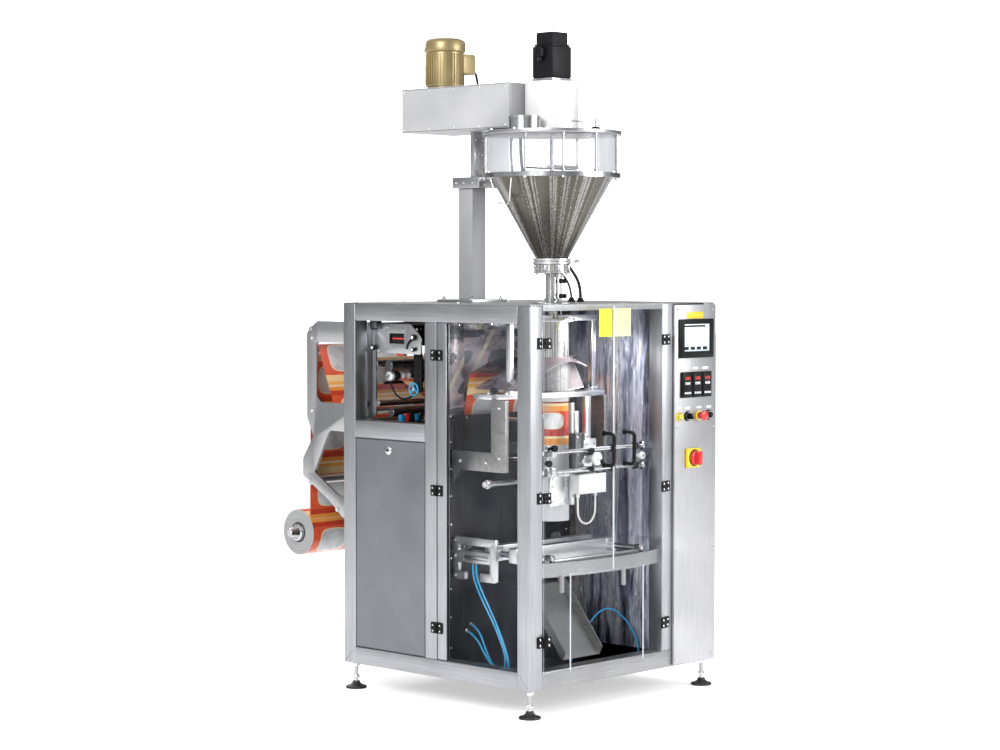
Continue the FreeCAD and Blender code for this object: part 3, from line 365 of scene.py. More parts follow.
def layered_edge(name):
    """The wound edge of a film roll: fine grey rings round the roll's axis."""
    material, tree, shader = new_material(name)
    coords = tree.nodes.new("ShaderNodeTexCoord")
    shift = tree.nodes.new("ShaderNodeMapping")
    centre = at(*on_roll(0))
    shift.inputs["Location"].default_value = (0, -centre.y, -centre.z)
    tree.links.new(coords.outputs["Object"], shift.inputs["Vector"])
    flat = tree.nodes.new("ShaderNodeVectorMath")
    flat.operation = "MULTIPLY"
    flat.inputs[1].default_value = (0, 1, 1)
    tree.links.new(shift.outputs[0], flat.inputs[0])
    size = tree.nodes.new("ShaderNodeVectorMath")
    size.operation = "LENGTH"
    tree.links.new(flat.outputs[0], size.inputs[0])
    rings = tree.nodes.new("ShaderNodeTexNoise")
    rings.noise_dimensions = "1D"
    rings.inputs["Scale"].default_value = 420
    rings.inputs["Detail"].default_value = 5
    tree.links.new(size.outputs["Value"], rings.inputs["W"])
    tree.links.new(ramp(tree, rings.outputs["Fac"], [(0.3, (0.16, 0.16, 0.17)), (0.7, (0.46, 0.46, 0.45))]),
                   shader.inputs["Base Color"])
    shader.inputs["Roughness"].default_value = 0.6
    tree.links.new(bump(tree, rings.outputs["Fac"], 0.5, 0.001), shader.inputs["Normal"])
    return material


def screen_glow(name):
    """A lit terminal screen: pale blue-grey field, soft panels, no characters."""
    material, tree, shader = new_material(name)
    coords = object_coords(tree, (1, 1, 1))
    split = tree.nodes.new("ShaderNodeSeparateXYZ")
    tree.links.new(coords, split.inputs[0])
    rise = remap(tree, split.outputs[2], 0.0, 1.0, 1.346, 1.462)
    base = ramp(tree, rise, [(0.0, (0.50, 0.60, 0.66)), (0.6, (0.66, 0.75, 0.78)), (1.0, (0.78, 0.85, 0.86))])
    soft = noise(tree, coords, 24, 2, 0.5)
    color = mix(tree, remap(tree, soft, 0.0, 0.25, 0.35, 0.7), base, (0.86, 0.9, 0.9))
    tree.links.new(color, shader.inputs["Base Color"])
    tree.links.new(color, shader.inputs["Emission Color"])
    shader.inputs["Emission Strength"].default_value = 0.35
    shader.inputs["Roughness"].default_value = 0.18
    shader.inputs["Coat Weight"].default_value = 0.5
    return material


STEEL_Z = brushed("steel_brushed_upright", (0.34, 0.35, 0.37), (0.52, 0.53, 0.55), 0.36, "z")
STEEL_Y = brushed("steel_brushed_depth", (0.34, 0.35, 0.37), (0.52, 0.53, 0.55), 0.36, "y")
STEEL_X = brushed("steel_brushed_width", (0.30, 0.30, 0.31), (0.46, 0.46, 0.47), 0.36, "x")
STEEL_SHEET = brushed("steel_sheet", (0.44, 0.44, 0.45), (0.58, 0.58, 0.59), 0.32, "z", 0.7)
PANEL_STEEL = brushed("panel_steel", (0.46, 0.46, 0.48), (0.58, 0.58, 0.60), 0.36, "z", 0.5)
# Cabinet liner steel darkened almost to black: painted shade for the dim inside of the machine.
LINER_STEEL_PAINTED_SHADE = brushed("liner_steel_painted_shade", (0.028, 0.026, 0.027), (0.10, 0.094, 0.094), 0.34, "z", 1.0, 0.8)
CHUTE_STEEL = brushed("chute_steel", (0.20, 0.20, 0.20), (0.42, 0.42, 0.42), 0.42, "y", 0.8)
PALE_STEEL = brushed("pale_steel", (0.74, 0.74, 0.75), (0.90, 0.90, 0.91), 0.30, "z", 0.25)
BRIGHT = brushed("bright_steel", (0.62, 0.62, 0.63), (0.76, 0.76, 0.77), 0.12, "none", 0.2)
TURNED = brushed("turned_steel", (0.50, 0.50, 0.51), (0.68, 0.68, 0.69), 0.22, "z", 0.4)
# Hopper cone: near-black steel with painted reflections, one bright streak and dark bands for the floor and
# lights mirrored in it.
CONE_STEEL_PAINTED_REFLECTIONS = painted_reflection_steel("cone_steel_painted_reflections", [(0.32, (0.028, 0.027, 0.023)), (0.44, (0.085, 0.08, 0.068)),
                                     (0.47, (0.36, 0.355, 0.34)),
                                    (0.50, (0.08, 0.076, 0.06)), (0.60, (0.13, 0.125, 0.105)),
                                     (0.68, (0.06, 0.06, 0.05))],
                      0.26, 2.2)
# Forming tube and filler spout: steel with painted reflections, a near-white glint streak between dark and
# mid bands.
TUBE_STEEL_PAINTED_REFLECTIONS = painted_reflection_steel("tube_steel_painted_reflections", [(0.36, (0.06, 0.06, 0.06)), (0.43, (0.34, 0.34, 0.33)),
                                     (0.47, (0.90, 0.90, 0.90)),
                                    (0.52, (0.24, 0.23, 0.20)), (0.58, (0.60, 0.60, 0.59)),
                                     (0.66, (0.10, 0.10, 0.10))],
                      0.22, 3.0)
SATIN_STEEL = coated("satin_steel", (0.32, 0.32, 0.33), (0.38, 0.38, 0.39), 0.5, 420, 0.15, 0.0, 0.3)
SATIN_CASE = coated("satin_case", (0.42, 0.42, 0.43), (0.49, 0.49, 0.50), 0.5, 420, 0.12, 0.0, 0.2)
# Near-white satin for the hopper's upper housing: its steel colour raised towards white as a painted
# reflection of bright light.
SATIN_PALE_PAINTED_REFLECTION = coated("satin_pale_painted_reflection", (0.72, 0.72, 0.72), (0.82, 0.82, 0.82), 0.45, 420, 0.1, 0.0, 0.15)
BRACKET_STEEL = brushed("bracket_steel", (0.27, 0.265, 0.26), (0.40, 0.395, 0.385), 0.42, "none", 0.3)
ALUMINIUM = brushed("aluminium_milled", (0.60, 0.61, 0.62), (0.74, 0.75, 0.76), 0.34, "y", 0.3)
GREY_PANEL = coated("grey_panel_paint", (0.145, 0.148, 0.165), (0.19, 0.193, 0.21), 0.42, 260, 0.1, 0.1, 0.35)
BLACK = coated("black_plastic", (0.004, 0.004, 0.005), (0.012, 0.012, 0.013), 0.36, 300, 0.15)
BLACK_MATT = coated("black_matt", (0.006, 0.006, 0.007), (0.018, 0.018, 0.02), 0.55, 240, 0.25)
for coat in (BLACK, BLACK_MATT):
    coat.node_tree.nodes["Principled BSDF"].inputs["Specular IOR Level"].default_value = 0.14
RUBBER = coated("foot_rubber", (0.006, 0.006, 0.006), (0.02, 0.019, 0.018), 0.5, 150, 0.3)
WHITE = coated("white_plastic", (0.70, 0.71, 0.71), (0.82, 0.83, 0.83), 0.38, 180, 0.1)
YELLOW = coated("yellow_plastic", (0.72, 0.50, 0.01), (0.86, 0.62, 0.02), 0.34, 200, 0.1, 0.3)
RED = coated("red_plastic", (0.50, 0.015, 0.02), (0.68, 0.03, 0.03), 0.3, 200, 0.08, 0.4)
GOLD = coated("gold_paint", (0.27, 0.21, 0.095), (0.38, 0.30, 0.15), 0.38, 260, 0.2, 0.15, 0.6)
BLUE = coated("blue_hose", (0.01, 0.20, 0.42), (0.02, 0.32, 0.58), 0.26, 120, 0.05, 0.4)
CABLE = coated("black_cable", (0.006, 0.006, 0.007), (0.018, 0.018, 0.02), 0.42, 200, 0.2)
PALE_CABLE = coated("pale_cable", (0.66, 0.66, 0.62), (0.80, 0.80, 0.76), 0.35, 160, 0.1)
DARK_STEEL = brushed("dark_steel", (0.12, 0.12, 0.125), (0.24, 0.24, 0.25), 0.34, "z", 0.5)
ACRYLIC = clear("acrylic_door", (0.16, 0.18, 0.22), 0.02, 0.05, 0.02, 0.015)
ACRYLIC_BOWL = clear("acrylic_bowl", (0.60, 0.64, 0.68), 0.14, 0.45, 0.04, 0.06)
ACRYLIC_EDGE = coated("acrylic_edge", (0.72, 0.77, 0.80), (0.86, 0.90, 0.92), 0.2, 60, 0.05, 0.6)
FILM = printed_film("printed_film")
FILM_BACK = film_back("film_back")
COLLAR_FILM = film_back("film_over_collar", False)
SLEEVE = sleeve_print("film_sleeve_print")
WING_FILM = coated("film_wing", (0.12, 0.105, 0.11), (0.30, 0.25, 0.265), 0.5, 30, 0.2)
BRIGHT_YELLOW = coated("sticker_yellow", (0.80, 0.78, 0.02), (0.90, 0.88, 0.04), 0.4, 200, 0.05)
PALE_YELLOW = coated("sticker_pale_yellow", (0.80, 0.80, 0.36), (0.90, 0.90, 0.52), 0.35, 120, 0.05)
ROLL_EDGE = layered_edge("film_roll_edge")
SCREEN = screen_glow("terminal_screen")
SIDE_WALL_PAINTED_REFLECTIONS = painted_reflection_wall("side_wall_painted_reflections")


# ---------------------------------------------------------------- mesh tools

TURN_TO = {"x": Matrix.Rotation(math.pi / 2, 4, "Y"), "y": Matrix.Rotation(-math.pi / 2, 4, "X"),
           "z": Matrix.Identity(4)}


class Piece:
    """One visible piece, built up from bevelled blocks, turned forms and prisms (millimetres)."""

    def __init__(self, name, body, *materials):
        self.name = name
        self.body = body
        self.materials = list(materials)
        self.mesh = bmesh.new()
        self.index = 0
        self.uv = self.mesh.loops.layers.uv.new("UVMap")

    def use(self, material):
        if material not in self.materials:
            self.materials.append(material)
        self.index = self.materials.index(material)
        return self

    def take(self, part, matrix=None):
        if matrix is not None:
            bmesh.ops.transform(part, matrix=matrix, verts=part.verts)
        holder = bpy.data.meshes.new("holder")
        for face in part.faces:
            face.material_index = self.index
        part.to_mesh(holder)
        part.free()
        self.mesh.from_mesh(holder)
        bpy.data.meshes.remove(holder)
        return self

    def block(self, x, y, z, bevel=1.0, segments=2):
        part = bmesh.new()
        low, high = at(x[0], y[0], z[0]), at(x[1], y[1], z[1])
        middle, size = (low + high) / 2, high - low
        bmesh.ops.create_cube(part, size=1.0, matrix=Matrix.Translation(middle) @ Matrix.Diagonal((*size, 1)))
        limit = min(abs(edge) for edge in size) * 0.45 * 1000
        if bevel > 0:
            bmesh.ops.bevel(part, geom=part.edges[:], offset=min(bevel, limit) / 1000, segments=segments,
                            profile=0.5, affect="EDGES")
        return self.take(part)

    def lathe(self, axis, centre, profile, sides=64, soften=0.0):
        """Profile of (radius, along) in millimetres from the centre, turned round the axis."""
        part = bmesh.new()
        rings = []
        for radius, along in rounded(profile, soften):
            if radius < 1e-6:
                rings.append([part.verts.new((0, 0, along / 1000))])
                continue
            rings.append([part.verts.new((radius / 1000 * math.cos(2 * math.pi * side / sides),
                                          radius / 1000 * math.sin(2 * math.pi * side / sides), along / 1000))
                          for side in range(sides)])
        for first, second in zip(rings, rings[1:]):
            for side in range(sides):
                follow = (side + 1) % sides
                ring = [first[side % len(first)], first[follow % len(first)],
                        second[follow % len(second)], second[side % len(second)]]
                corners = []
                for vert in ring:
                    if vert not in corners:
                        corners.append(vert)
                if len(corners) > 2:
                    part.faces.new(corners)
        bmesh.ops.recalc_face_normals(part, faces=part.faces)
        return self.take(part, Matrix.Translation(at(*centre)) @ TURN_TO[axis])

    def rod(self, axis, centre, radius, length, bevel=0.8, sides=40):
        soft = min(bevel, radius * 0.4, length * 0.4)
        return self.lathe(axis, centre, [(0, 0), (radius - soft, 0), (radius, soft), (radius, length - soft),
                                         (radius - soft, length), (0, length)], sides)

    def tube(self, axis, centre, outer, inner, length, sides=64):
        return self.lathe(axis, centre, [(inner, 0), (outer, 0), (outer, length), (inner, length),
                                         (inner, 0)], sides)

    def prism(self, plane, outline, start, thick, bevel=0.0, holes=()):
        """A flat plate: outline in the plane's two axes, grown along the third from start."""
        part = bmesh.new()
        order = {"yz": lambda u, v, w: at(w, u, v), "xy": lambda u, v, w: at(u, v, w),
                 "xz": lambda u, v, w: at(u, w, v)}[plane]
        loops = []
        for loop in (outline, *holes):
            verts = [part.verts.new(order(u, v, start)) for u, v in loop]
            edges = [part.edges.new((verts[i], verts[(i + 1) % len(verts)])) for i in range(len(verts))]
            loops += edges
        bmesh.ops.triangle_fill(part, use_beauty=True, use_dissolve=True, edges=loops)
        base = part.faces[:]
        grown = bmesh.ops.extrude_face_region(part, geom=base)
        shift = order(0, 0, start + thick) - order(0, 0, start)
        bmesh.ops.translate(part, vec=shift, verts=[v for v in grown["geom"]
                                                    if isinstance(v, bmesh.types.BMVert)])
        bmesh.ops.recalc_face_normals(part, faces=part.faces)
        if bevel:
            sharp = [edge for edge in part.edges if len(edge.link_faces) == 2
                     and edge.calc_face_angle(0) > 0.9]
            bmesh.ops.bevel(part, geom=sharp, offset=bevel / 1000, segments=2, profile=0.5, affect="EDGES")
        return self.take(part)

    def sweep(self, points, radius, sides=12):
        """A round bar through points, with its corners already rounded by the caller."""
        part = bmesh.new()
        path = [at(*point) for point in points]
        rings = []
        up = Vector((0.13, 0.21, 0.97)).normalized()
        for number, spot in enumerate(path):
            ahead = path[min(number + 1, len(path) - 1)] - path[max(number - 1, 0)]
            ahead.normalize()
            side = ahead.cross(up)
            if side.length < 1e-3:
                side = ahead.cross(Vector((1, 0, 0)))
            side.normalize()
            up = side.cross(ahead).normalized()
            rings.append([part.verts.new(spot + (side * math.cos(a) + up * math.sin(a)) * radius / 1000)
                          for a in [2 * math.pi * s / sides for s in range(sides)]])
        for first, second in zip(rings, rings[1:]):
            for side in range(sides):
                follow = (side + 1) % sides
                part.faces.new((first[side], first[follow], second[follow], second[side]))
        part.faces.new(rings[0][::-1])
        part.faces.new(rings[-1])
        bmesh.ops.recalc_face_normals(part, faces=part.faces)
        return self.take(part)

    def screw(self, axis, centre, radius=4.0, head=3.0, sign=1):
        """A socket-head or button screw whose head stands out along sign * axis."""
        profile = [(0, 0), (radius, 0), (radius, head * 0.55), (radius * 0.7, head), (radius * 0.42, head),
                   (radius * 0.38, head * 0.45), (0, head * 0.45)]
        if sign < 0:
            profile = [(r, -h) for r, h in profile]
        return self.lathe(axis, centre, profile, 16)

    def hexagon(self, axis, centre, radius, height):
        return self.lathe(axis, centre, [(0, 0), (radius * 0.93, 0), (radius, height * 0.12),
                                         (radius, height * 0.88), (radius * 0.93, height), (0, height)], 6)

    def done(self, replaces=(), slot=None, smooth=32):
        data = bpy.data.meshes.new(self.name)
        self.mesh.to_mesh(data)
        self.mesh.free()
        for material in self.materials:
            data.materials.append(material)
        for face in data.polygons:
            face.use_smooth = True
        data.set_sharp_from_angle(angle=math.radians(smooth))
        item = bpy.data.objects.new(self.name, data)
        bpy.context.scene.collection.objects.link(item)
        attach(item, self.body)
        if replaces:
            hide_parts(*([replaces] if isinstance(replaces, str) else replaces))
        return item


def rounded(profile, soften):
    """The profile with each inner corner cut by two short chamfers of about soften mm."""
    if not soften:
        return profile
    result = [profile[0]]
    for before, corner, after in zip(profile, profile[1:], profile[2:]):
        a, b, c = Vector(before), Vector(corner), Vector(after)
        reach = min(soften, (b - a).length * 0.4, (c - b).length * 0.4)
        if reach < 0.05 or corner[0] < 1e-6:
            result.append(corner)
            continue
        start = b + (a - b).normalized() * reach
        end = b + (c - b).normalized() * reach
        result.append(tuple(start))
        result.append(tuple((start + end) / 4 + b / 2))
        result.append(tuple(end))
    result.append(profile[-1])
    return result


def arc(centre, radius, start, end, steps):
    return [(centre[0] + radius * math.cos(math.radians(start + (end - start) * k / steps)),
             centre[1] + radius * math.sin(math.radians(start + (end - start) * k / steps)))
            for k in range(steps + 1)]


def turned(angle):
    """The two parts of a unit arm at an angle in degrees."""
    return math.cos(math.radians(angle)), math.sin(math.radians(angle))


def soft_corners(outline, radius=10):
    """Each corner of the outline replaced by a short arc-like chain."""
    result = []
    count = len(outline)
    for k in range(count):
        before, corner, after = (Vector(outline[k - 1]), Vector(outline[k]), Vector(outline[(k + 1) % count]))
        reach = min(radius, (before - corner).length * 0.4, (after - corner).length * 0.4)
        start = corner + (before - corner).normalized() * reach
        end = corner + (after - corner).normalized() * reach
        for step in (0, 0.25, 0.5, 0.75, 1):
            first = start.lerp(corner, step)
            second = corner.lerp(end, step)
            result.append(tuple(first.lerp(second, step)))
    return result


def bend(points, reach):
    """The chain of points with each inner corner rounded."""
    result = [tuple(points[0])]
    for before, corner, after in zip(points, points[1:], points[2:]):
        a, b, c = Vector(before), Vector(corner), Vector(after)
        first = b + (a - b).normalized() * min(reach, (a - b).length * 0.45)
        last = b + (c - b).normalized() * min(reach, (c - b).length * 0.45)
        for step in (0, 0.2, 0.4, 0.6, 0.8, 1):
            result.append(tuple(first.lerp(b, step).lerp(b.lerp(last, step), step)))
    result.append(tuple(points[-1]))
    return result


def paint(node, *materials):
    """Gives a CAD node its procedural material."""
    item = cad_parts[node]
    item.data.materials.clear()
    for material in materials:
        item.data.materials.append(material)


# ---------------------------------------------------------------- camera, light, floor

def look(position, direction, focal):
    data = bpy.data.cameras.new("camera")
    data.lens = focal
    data.sensor_width = 36
    data.clip_end = 60
    camera = bpy.data.objects.new("camera", data)
    bpy.context.scene.collection.objects.link(camera)
    camera.location = position
    camera.rotation_euler = Vector(direction).to_track_quat("-Z", "Y").to_euler()
    bpy.context.scene.camera = camera


bpy.context.scene.view_settings.view_transform = "Standard"
look((-6.9007, -6.6977, 1.6822), (0.72043, 0.69203, -0.04546), 85.21)


def area_light(name, place, target, width, height, power, tone=(1, 1, 1)):
    data = bpy.data.lights.new(name, "AREA")
    data.shape = "RECTANGLE"
    data.size, data.size_y = width, height
    data.energy = power
    data.color = tone
    lamp = bpy.data.objects.new(name, data)
    bpy.context.scene.collection.objects.link(lamp)
    lamp.location = place
    lamp.rotation_euler = (Vector(target) - Vector(place)).to_track_quat("-Z", "Y").to_euler()


area_light("key", (-5.5, -2.0, 4.2), (0, 0, 1.2), 3.0, 3.0, 300)
area_light("front_fill", (2.5, -6.0, 3.0), (0, 0, 1.2), 3.5, 2.5, 230)
area_light("rear_rim", (1.5, 5.0, 4.0), (0, 0, 1.4), 3.0, 2.0, 160)
area_light("inside_glow", tuple(at(560, 60, 1440)), tuple(at(420, 330, 900)), 0.25, 0.1, 2.5)


def studio_world():
    world = bpy.data.worlds.new("studio")
    world.use_nodes = True
    bpy.context.scene.world = world
    tree = world.node_tree
    back = tree.nodes["Background"]
    coords = tree.nodes.new("ShaderNodeTexCoord")
    split = tree.nodes.new("ShaderNodeSeparateXYZ")
    tree.links.new(coords.outputs["Generated"], split.inputs[0])
    wrap = noise(tree, object_coords(tree, (1.6, 1.6, 0.5), "Generated"), 1.4, 2, 0.5)
    height = remap(tree, split.outputs[2], 0.0, 1.0, -0.3, 0.8)
    sky = ramp(tree, height, [(0.0, (0.80, 0.80, 0.81)), (0.30, (0.40, 0.41, 0.43)),
                              (0.55, (0.80, 0.81, 0.83)),
                              (1.0, (1.0, 1.0, 1.0))])
    cards = ramp(tree, wrap, [(0.42, (0.18, 0.18, 0.19)), (0.52, (1, 1, 1))])
    seen = mix(tree, 1.0, sky, cards, "MULTIPLY")
    ray = tree.nodes.new("ShaderNodeLightPath")
    tree.links.new(mix(tree, ray.outputs["Is Camera Ray"], seen, (2.6, 2.6, 2.6)), back.inputs["Color"])
    back.inputs["Strength"].default_value = 0.95


studio_world()


def floor():
    mesh = bmesh.new()
    bmesh.ops.create_grid(mesh, x_segments=2, y_segments=2, size=40)
    data = bpy.data.meshes.new("floor")
    mesh.to_mesh(data)
    mesh.free()
    item = bpy.data.objects.new("floor", data)
    bpy.context.scene.collection.objects.link(item)
    paint_coat = coated("floor_paint", (0.86, 0.86, 0.865), (0.90, 0.90, 0.905), 0.7, 3, 0.0)
    shader = paint_coat.node_tree.nodes["Principled BSDF"]
    shader.inputs["Emission Color"].default_value = (1, 1, 1, 1)
    shader.inputs["Emission Strength"].default_value = 0.5
    data.materials.append(paint_coat)


floor()


# ---------------------------------------------------------------- cables and hoses

def cord(name, node, points, radius, material):
    data = bpy.data.curves.new(name, "CURVE")
    data.dimensions = "3D"
    data.bevel_depth = radius / 1000
    data.bevel_resolution = 5
    data.resolution_u = 16
    data.use_fill_caps = True
    line = data.splines.new("NURBS")
    line.points.add(len(points) - 1)
    for point, place in zip(line.points, points):
        point.co = (*at(*place), 1)
    line.order_u = 3
    line.use_endpoint_u = True
    data.materials.append(material)
    item = bpy.data.objects.new(name, data)
    bpy.context.scene.collection.objects.link(item)
    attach(item, "machine")
    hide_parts(node)


cord("hose_cylinder_front.line", "hose_cylinder_front",
     [(98, 376, 540), (98, 376, 500), (98, 348, 445), (97, 306, 385), (95, 264, 322), (92, 228, 262),
      (91, 202, 205),
      (100, 204, 152), (112, 248, 130), (124, 306, 144), (136, 366, 190), (150, 426, 250), (154, 473.4, 268)],
     4, BLUE)
cord("hose_cylinder_rear.line", "hose_cylinder_rear",
     [(106, 402, 540), (106, 402, 500), (108, 376, 440), (109, 336, 380), (109, 294, 322), (107, 256, 262),
      (108, 230, 205), (118, 240, 154), (132, 286, 134), (146, 340, 156), (160, 388, 208), (174, 432, 272),
      (178, 473.2, 290)], 4, BLUE)
cord("hose_right.line", "hose_right",
     [(560, 300, 123), (560, 300, 170), (580, 268, 222), (612, 248, 280), (655, 234, 322), (702, 214, 330),
      (732, 172, 290), (742, 128, 232), (742, 105, 172), (742, 105, 123)], 4, BLUE)
cord("cable_white.line", "cable_white",
     [(505, 128, 796.8), (506, 128.5, 760), (503, 128, 722), (473, 127, 691), (431, 126, 692),
      (402, 124.5, 722),
      (399, 124, 760), (400, 124, 796.8)], 4, PALE_CABLE)
cord("cable_servo.line", "cable_servo",
     [(540, 560, 2204), (540, 560, 2120), (552, 550, 2020), (580, 530, 1925), (620, 505, 1838),
      (664, 480, 1756),
      (712, 458, 1690), (752, 445, 1638), (768, 442, 1592), (768, 442, 1560)], 6.5, CABLE)
cord("cable_level.line", "cable_level",
     [(500, 575, 2204), (500, 575, 2120), (506, 566, 2020), (524, 548, 1925), (556, 522, 1838),
      (594, 498, 1760),
      (642, 480, 1698), (694, 466, 1650), (728, 461, 1604), (735, 461, 1560.8)], 4.5, CABLE)


# ---------------------------------------------------------------- cabinet

def cabinet_frame():
    """Square tubes with soft corners, butt-jointed and ground, with mitred corners at the roof."""
    upright = Piece("frame_uprights", "machine", STEEL_Z)
    for x in ((0, 68), (1012, 1080)):
        for y in ((0, 68), (952, 1020)):
            upright.block(x, y, (105, 1540), 4, 3)
    upright.block((0, 66), (493, 557), (173, 1472), 3, 3).block((1014, 1080), (493, 557), (173, 1472), 3, 3)
    upright.block((757, 829), (0, 68), (173, 1540), 2, 2)
    upright.done(replaces="main_frame", slot="stainless")
    deep = Piece("frame_depth_rails", "machine", STEEL_Y)
    for x in ((0, 68), (1012, 1080)):
        deep.block(x, (66, 954), (1472, 1540), 3, 3).block(x, (66, 954), (105, 173), 3, 3)
    deep.block((0, 66), (556, 953), (1009, 1077), 3, 3)
    deep.done(slot="stainless")
    wide = Piece("frame_width_rails", "machine", STEEL_X)
    for z in ((1472, 1540), (105, 173), (1009, 1077)):
        wide.block((66, 1014), (952, 1020), z, 3, 3)
    wide.block((66, 1014), (0, 68), (105, 173), 3, 3)
    wide.done(slot="stainless")
    seams = Piece("frame_weld_seams", "machine", DARK_STEEL)
    for low, high, z0, z1 in ((0, 68, 1540, 1472), (1020, 952, 1540, 1472), (0, 68, 105, 173),
                              (1020, 952, 105, 173)):
        seams.sweep([(-0.15, low, z0), (-0.15, high, z1)], 0.7, 6)
    for y in (493, 557):
        seams.sweep([(-0.1, y, 173), (-0.1, y, 1472)], 0.5, 6)
    seams.sweep([(-0.1, 557, 1009), (-0.1, 952, 1009)], 0.6, 6)
    seams.done(slot="stainless")


cabinet_frame()
paint("roof_plate", STEEL_SHEET)
# The liner's near-black steel is painted shade for the dim inside of the cabinet.
paint("cabinet_liner", LINER_STEEL_PAINTED_SHADE)
paint("discharge_chute", CHUTE_STEEL)
paint("front_rail", STEEL_X)
paint("film_rack", STEEL_Z)
paint("levelling_feet", RUBBER)


def bulkhead():
    """The wall behind the sealing space, in liner steel darkened as painted shade, the polished wall beside
    it with painted reflections, film-coloured sheets that paint the film's reflection, and the film guide in
    the slot.
    """
    wall = Piece("bulkhead_sheets", "machine", LINER_STEEL_PAINTED_SHADE, SIDE_WALL_PAINTED_REFLECTIONS, TURNED, BRIGHT)
    slot = soft_corners([(147, 1110), (667, 1110), (667, 1440), (147, 1440)], 8)
    wall.prism("xz", [(68, 111), (1009, 111), (1009, 1538), (68, 1538)], 489, 4, 0.0, (slot,))
    # The polished side wall, its colour painted reflections.
    wall.use(SIDE_WALL_PAINTED_REFLECTIONS).block((757, 761), (68, 489), (173, 1538), 0.6)
    # A sheet behind the slot and two strips on the wall's face in the film's colours: a painted reflection of
    # the film in the polished steel.
    wall.use(FILM_BACK).prism("xz", soft_corners([(130, 1150), (684, 1150), (684, 1474), (130, 1474)], 10),
                              640, 2, 0.5)
    wall.block((69, 147), (488.3, 489.3), (1112, 1472), 0.3)
    wall.block((147, 690), (488.3, 489.3), (1440, 1472), 0.3)
    wall.use(DARK_STEEL)
    for x in (132, 672):
        wall.block((x, x + 10), (493, 641), (1452, 1470), 1.5)
    wall.use(TURNED).rod("x", (152, 535, 1098), 14, 510, 0.8, 40)
    for x in (150, 652):
        wall.use(LINER_STEEL_PAINTED_SHADE).prism("yz", soft_corners([(491, 1084), (549, 1084), (549, 1112), (491, 1112)],
                                                       9), x, 12, 0.8)
    wall.use(BRIGHT)
    for x, z in ((154, 268), (178, 290)):
        wall.lathe("y", (x, 475, z), [(0, 0), (5.4, 0), (6, 1), (6, 6), (8, 7), (8, 13), (0, 13)], 24)
    for x in (160, 300, 520, 655):
        wall.screw("y", (x, 489, 1100), 4.5, 3, -1)
    wall.done(replaces="inner_bulkhead", slot="stainless")


bulkhead()


def bulkhead_bolts():
    bolts = Piece("bulkhead_bolts", "machine", BRIGHT)
    for z in (210, 330, 440, 560, 690, 800, 905, 1010, 1110):
        bolts.screw("y", (74, 489, z), 5, 3.5, -1)
    for z in (300, 620, 1000, 1300):
        bolts.screw("y", (735, 489, z), 5, 3.5, -1)
    for x in (120, 300, 500, 700):
        bolts.screw("y", (x, 489, 1460), 5, 3.5, -1)
    bolts.done(slot="bright_steel")


bulkhead_bolts()


def roof_details():
    roof = Piece("roof_fixings", "machine", BRIGHT)
    for x in (320, 480):
        for y in (614, 774):
            roof.hexagon("z", (x, y, 1555), 9, 7).rod("z", (x, y, 1555), 4, 14)
    roof.hexagon("z", (150, 520, 1543), 7, 5).hexagon("z", (620, 700, 1543), 7, 5)
    for x in (40, 300, 560, 800, 1040):
        for y in (34, 986):
            roof.screw("z", (x, y, 1543), 5, 3)
    for x, y in ((768, 442), (735, 461)):
        roof.use(BLACK).lathe("z", (x, y, 1543), [(0, 0), (15, 0), (15, 8), (11, 10), (11, 15), (6, 20),
                                                  (0, 20)], 24)
    roof.use(STEEL_SHEET)
    roof.tube("z", on_axis(1540), 90, 75, 6)
    roof.done(slot="bright_steel")


roof_details()


def lower_panel():
    panel = Piece("lift_off_panel", "machine", GREY_PANEL, DARK_STEEL)
    panel.block((1, 20), (561, 948), (177, 1005), 2.5, 3)
    panel.use(DARK_STEEL).block((10, 19), (557, 952), (173, 1009), 0)
    panel.done(replaces="lower_panel", slot="grey_panel")
    lock = Piece("panel_lock_head", "lock", BRIGHT, BLACK)
    lock.lathe("x", (1.4, 761, 966), [(0, -7.4), (9, -7.4), (13, -6.2), (17, -2.2), (17, 0), (0, 0)], 40)
    lock.rod("x", (1, 761, 966), 12, 24)
    lock.block((25, 28), (754, 768), (920, 974), 1.5)
    lock.use(BLACK).block((-6.6, -5.9), (752, 770), (964, 968), 0.3)
    lock.tube("x", (-6.4, 761, 966), 6, 3.4, 0.8, 24)
    lock.done(replaces="panel_lock", slot="bright_steel")


lower_panel()


# ---------------------------------------------------------------- hinges, doors and handles

FRONT_HEIGHTS = (1400, 824, 286)
SIDE_HEIGHTS = (1346, 826, 296)


def front_leaf(piece, axis_x, height, side, face, moving):
    near, far = (axis_x + (5 if moving else 8) * side, axis_x + (32 if moving else 30) * side)
    x = (min(near, far), max(near, far))
    piece.use(BLACK).block(x, (face - 5.5, face), (height - 21, height + 21), 2.2, 3)
    bands = ((height - 6.5, height + 6.5),) if moving else ((height - 20, height - 7),
                                                            (height + 7, height + 20))
    for low, high in bands:
        piece.rod("z", (axis_x, -7, low), 6, high - low, 1.2, 28)
        web = (min(axis_x, axis_x + 8 * side), max(axis_x, axis_x + 8 * side))
        depth = (min(face - 5, -11.5), min(face - 1, -7)) if moving else (-9.3, -5)
        piece.block(web, depth, (low, high), 0.8)
    piece.use(BRIGHT)
    for dz in (-11, 11):
        piece.screw("y", (axis_x + 19 * side, face - 5.5, height + dz), 4.2, 1.6, -1)


